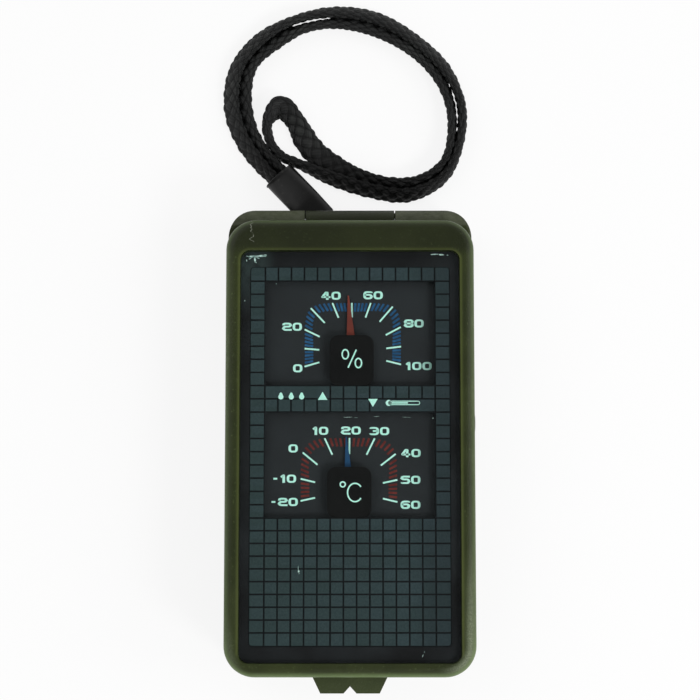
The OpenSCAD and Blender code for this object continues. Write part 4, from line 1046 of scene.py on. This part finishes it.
nodeFinishes = {
    "lidOlive": "lid_frame hinge_knuckle",
    "caseOlive": "base_case battery_door",
    "deckOlive": "deck lid_back",
    "steel": "lanyard_bar hinge_pin case_screws pivot_pin magnifier_pin door_screw lid_screws coin_cell",
    "clearPlastic": "capsule_cup capsule_lens light_lens light_bulb",
    "lensGlass": "magnifier_lens",
    "windowGlass": "window",
    "blackPlastic": "azimuth_ring magnifier_frame light_switch",
    "blackRubber": "light_button lanyard_sleeve",
    "cardWhite": "compass_card",
    "magnet": "card_magnets",
    "brass": "card_jewel cell_contact_top cell_contact_door hygrometer_staff thermometer_staff",
    "coilBrass": "hygrometer_coil",
    "coilSteel": "thermometer_coil",
    "whitePlastic": "switch_plunger",
    "circuitGreen": "circuit_board",
    "whistleOlive": "whistle",
    "mirrorSilver": "mirror",
    "faceGrid": "face_plate",
    "dialBlack": "hygrometer_dial thermometer_dial",
    "coverBlack": "hygrometer_cover thermometer_cover",
    "pointerRed": "hygrometer_pointer",
    "pointerBlue": "thermometer_pointer",
    "cordBlack": "lanyard_cord lanyard_tether",
}
pieceFinishes = {
    "cordBlack": (cord, lanyardTether),
    "blackRubber": (lanyardSleeve,),
    "printMint": (hygroScale, thermoScale, percentSign, degreeSign, faceMarks, ringMarks),
    "printBlue": (hygroSteps,),
    "printRed": (thermoSteps,),
    "windowGlass": (windowPane,),
    "borderBlack": (windowBorder,),
    "glueAndGlintWhite": (glueAndGlintMarks,),
    "printBlack": (cardMarks,),
    "pointerRed": (northArrow,),
}


def dress(piece, finish):
    mesh = piece.data
    mesh.materials.clear()
    mesh.materials.append(materials[finish])
    mesh.polygons.foreach_set("material_index", np.zeros(len(mesh.polygons), np.int32))


for finish, names in nodeFinishes.items():
    for node in names.split():
        dress(nodes[node], finish)
for finish, pieces in pieceFinishes.items():
    for piece in pieces:
        dress(piece, finish)
print("materials")

# Studio

studio = {
    "key": {"place": (0.62, -0.55, 0.8), "size": 0.3, "power": 4.6},
    "side": {"place": (0.85, -0.05, 0.6), "size": 0.45, "power": 2.2},
    "fill": {"place": (-0.7, 0.5, 0.9), "size": 0.9, "power": 2.2},
    "aim": (0, 0.02, 0.01), "sky": 0.55, "overhead": 0.12, "overheadFrom": (0.45, 0.9),
    "floor": {"half": 4, "height": -0.0001, "paint": (246, 246, 246), "white": 0.85},
}


def makeLamp(name, c, aim):
    lamp = bpy.data.lights.new(name, "AREA")
    lamp.shape, lamp.size, lamp.energy = "DISK", c["size"], c["power"]
    thing = bpy.data.objects.new(name, lamp)
    thing.location = c["place"]
    thing.rotation_euler = (Vector(aim) - Vector(c["place"])).to_track_quat("-Z", "Y").to_euler()
    bpy.context.scene.collection.objects.link(thing)


# 1 for what the camera sees, also in a reflection or through glass, and 0 for light on its way
def seenByCamera(t):
    rayKinds = ("Camera", "Glossy", "Transmission")
    camera, glossy, clear = (t.add("LightPath", out="Is " + kind + " Ray") for kind in rayKinds)
    return t.math("MAXIMUM", t.math("MAXIMUM", camera, glossy), clear)


# White to the camera and in reflections, greyer overhead, and a plain dimmer light on everything else
def makeSky(c):
    world = bpy.data.worlds.new("sky")
    bpy.context.scene.world = world
    t = Tree(world)
    seen = seenByCamera(t)
    _, _, z = t.parts(t.add("TexCoord", out="Generated"))
    level = 1 - t.rise(z, *c["overheadFrom"]) * (1 - c["overhead"])
    strength = seen * level + (1 - seen) * c["sky"]
    t.output(t.add("Background", None, {"Color": (1, 1, 1, 1), "Strength": strength}), "World")


# Pale floor: partly lit, so that it keeps the shadow, and partly white to the camera and in reflections
def makeFloor(c):
    mesh = bpy.data.meshes.new("floor")
    h, z = c["half"], c["height"]
    mesh.from_pydata([(-h, -h, z), (h, -h, z), (h, h, z), (-h, h, z)], [], [(0, 1, 2, 3)])
    floor = bpy.data.objects.new("floor", mesh)
    bpy.context.scene.collection.objects.link(floor)
    t = newTree("paleFloor")
    lit = t.add("BsdfDiffuse", None, {"Color": paint(*c["paint"])})
    white = t.add("Emission", None, {"Color": (1, 1, 1, 1), "Strength": 1.0})
    mixed = t.add("MixShader", None, {0: seenByCamera(t) * c["white"], 1: lit, 2: white})
    mesh.materials.append(t.output(mixed))


for lamp in ("key", "side", "fill"):
    makeLamp(lamp + "Lamp", studio[lamp], studio["aim"])
makeSky(studio)
makeFloor(studio["floor"])
print("studio")
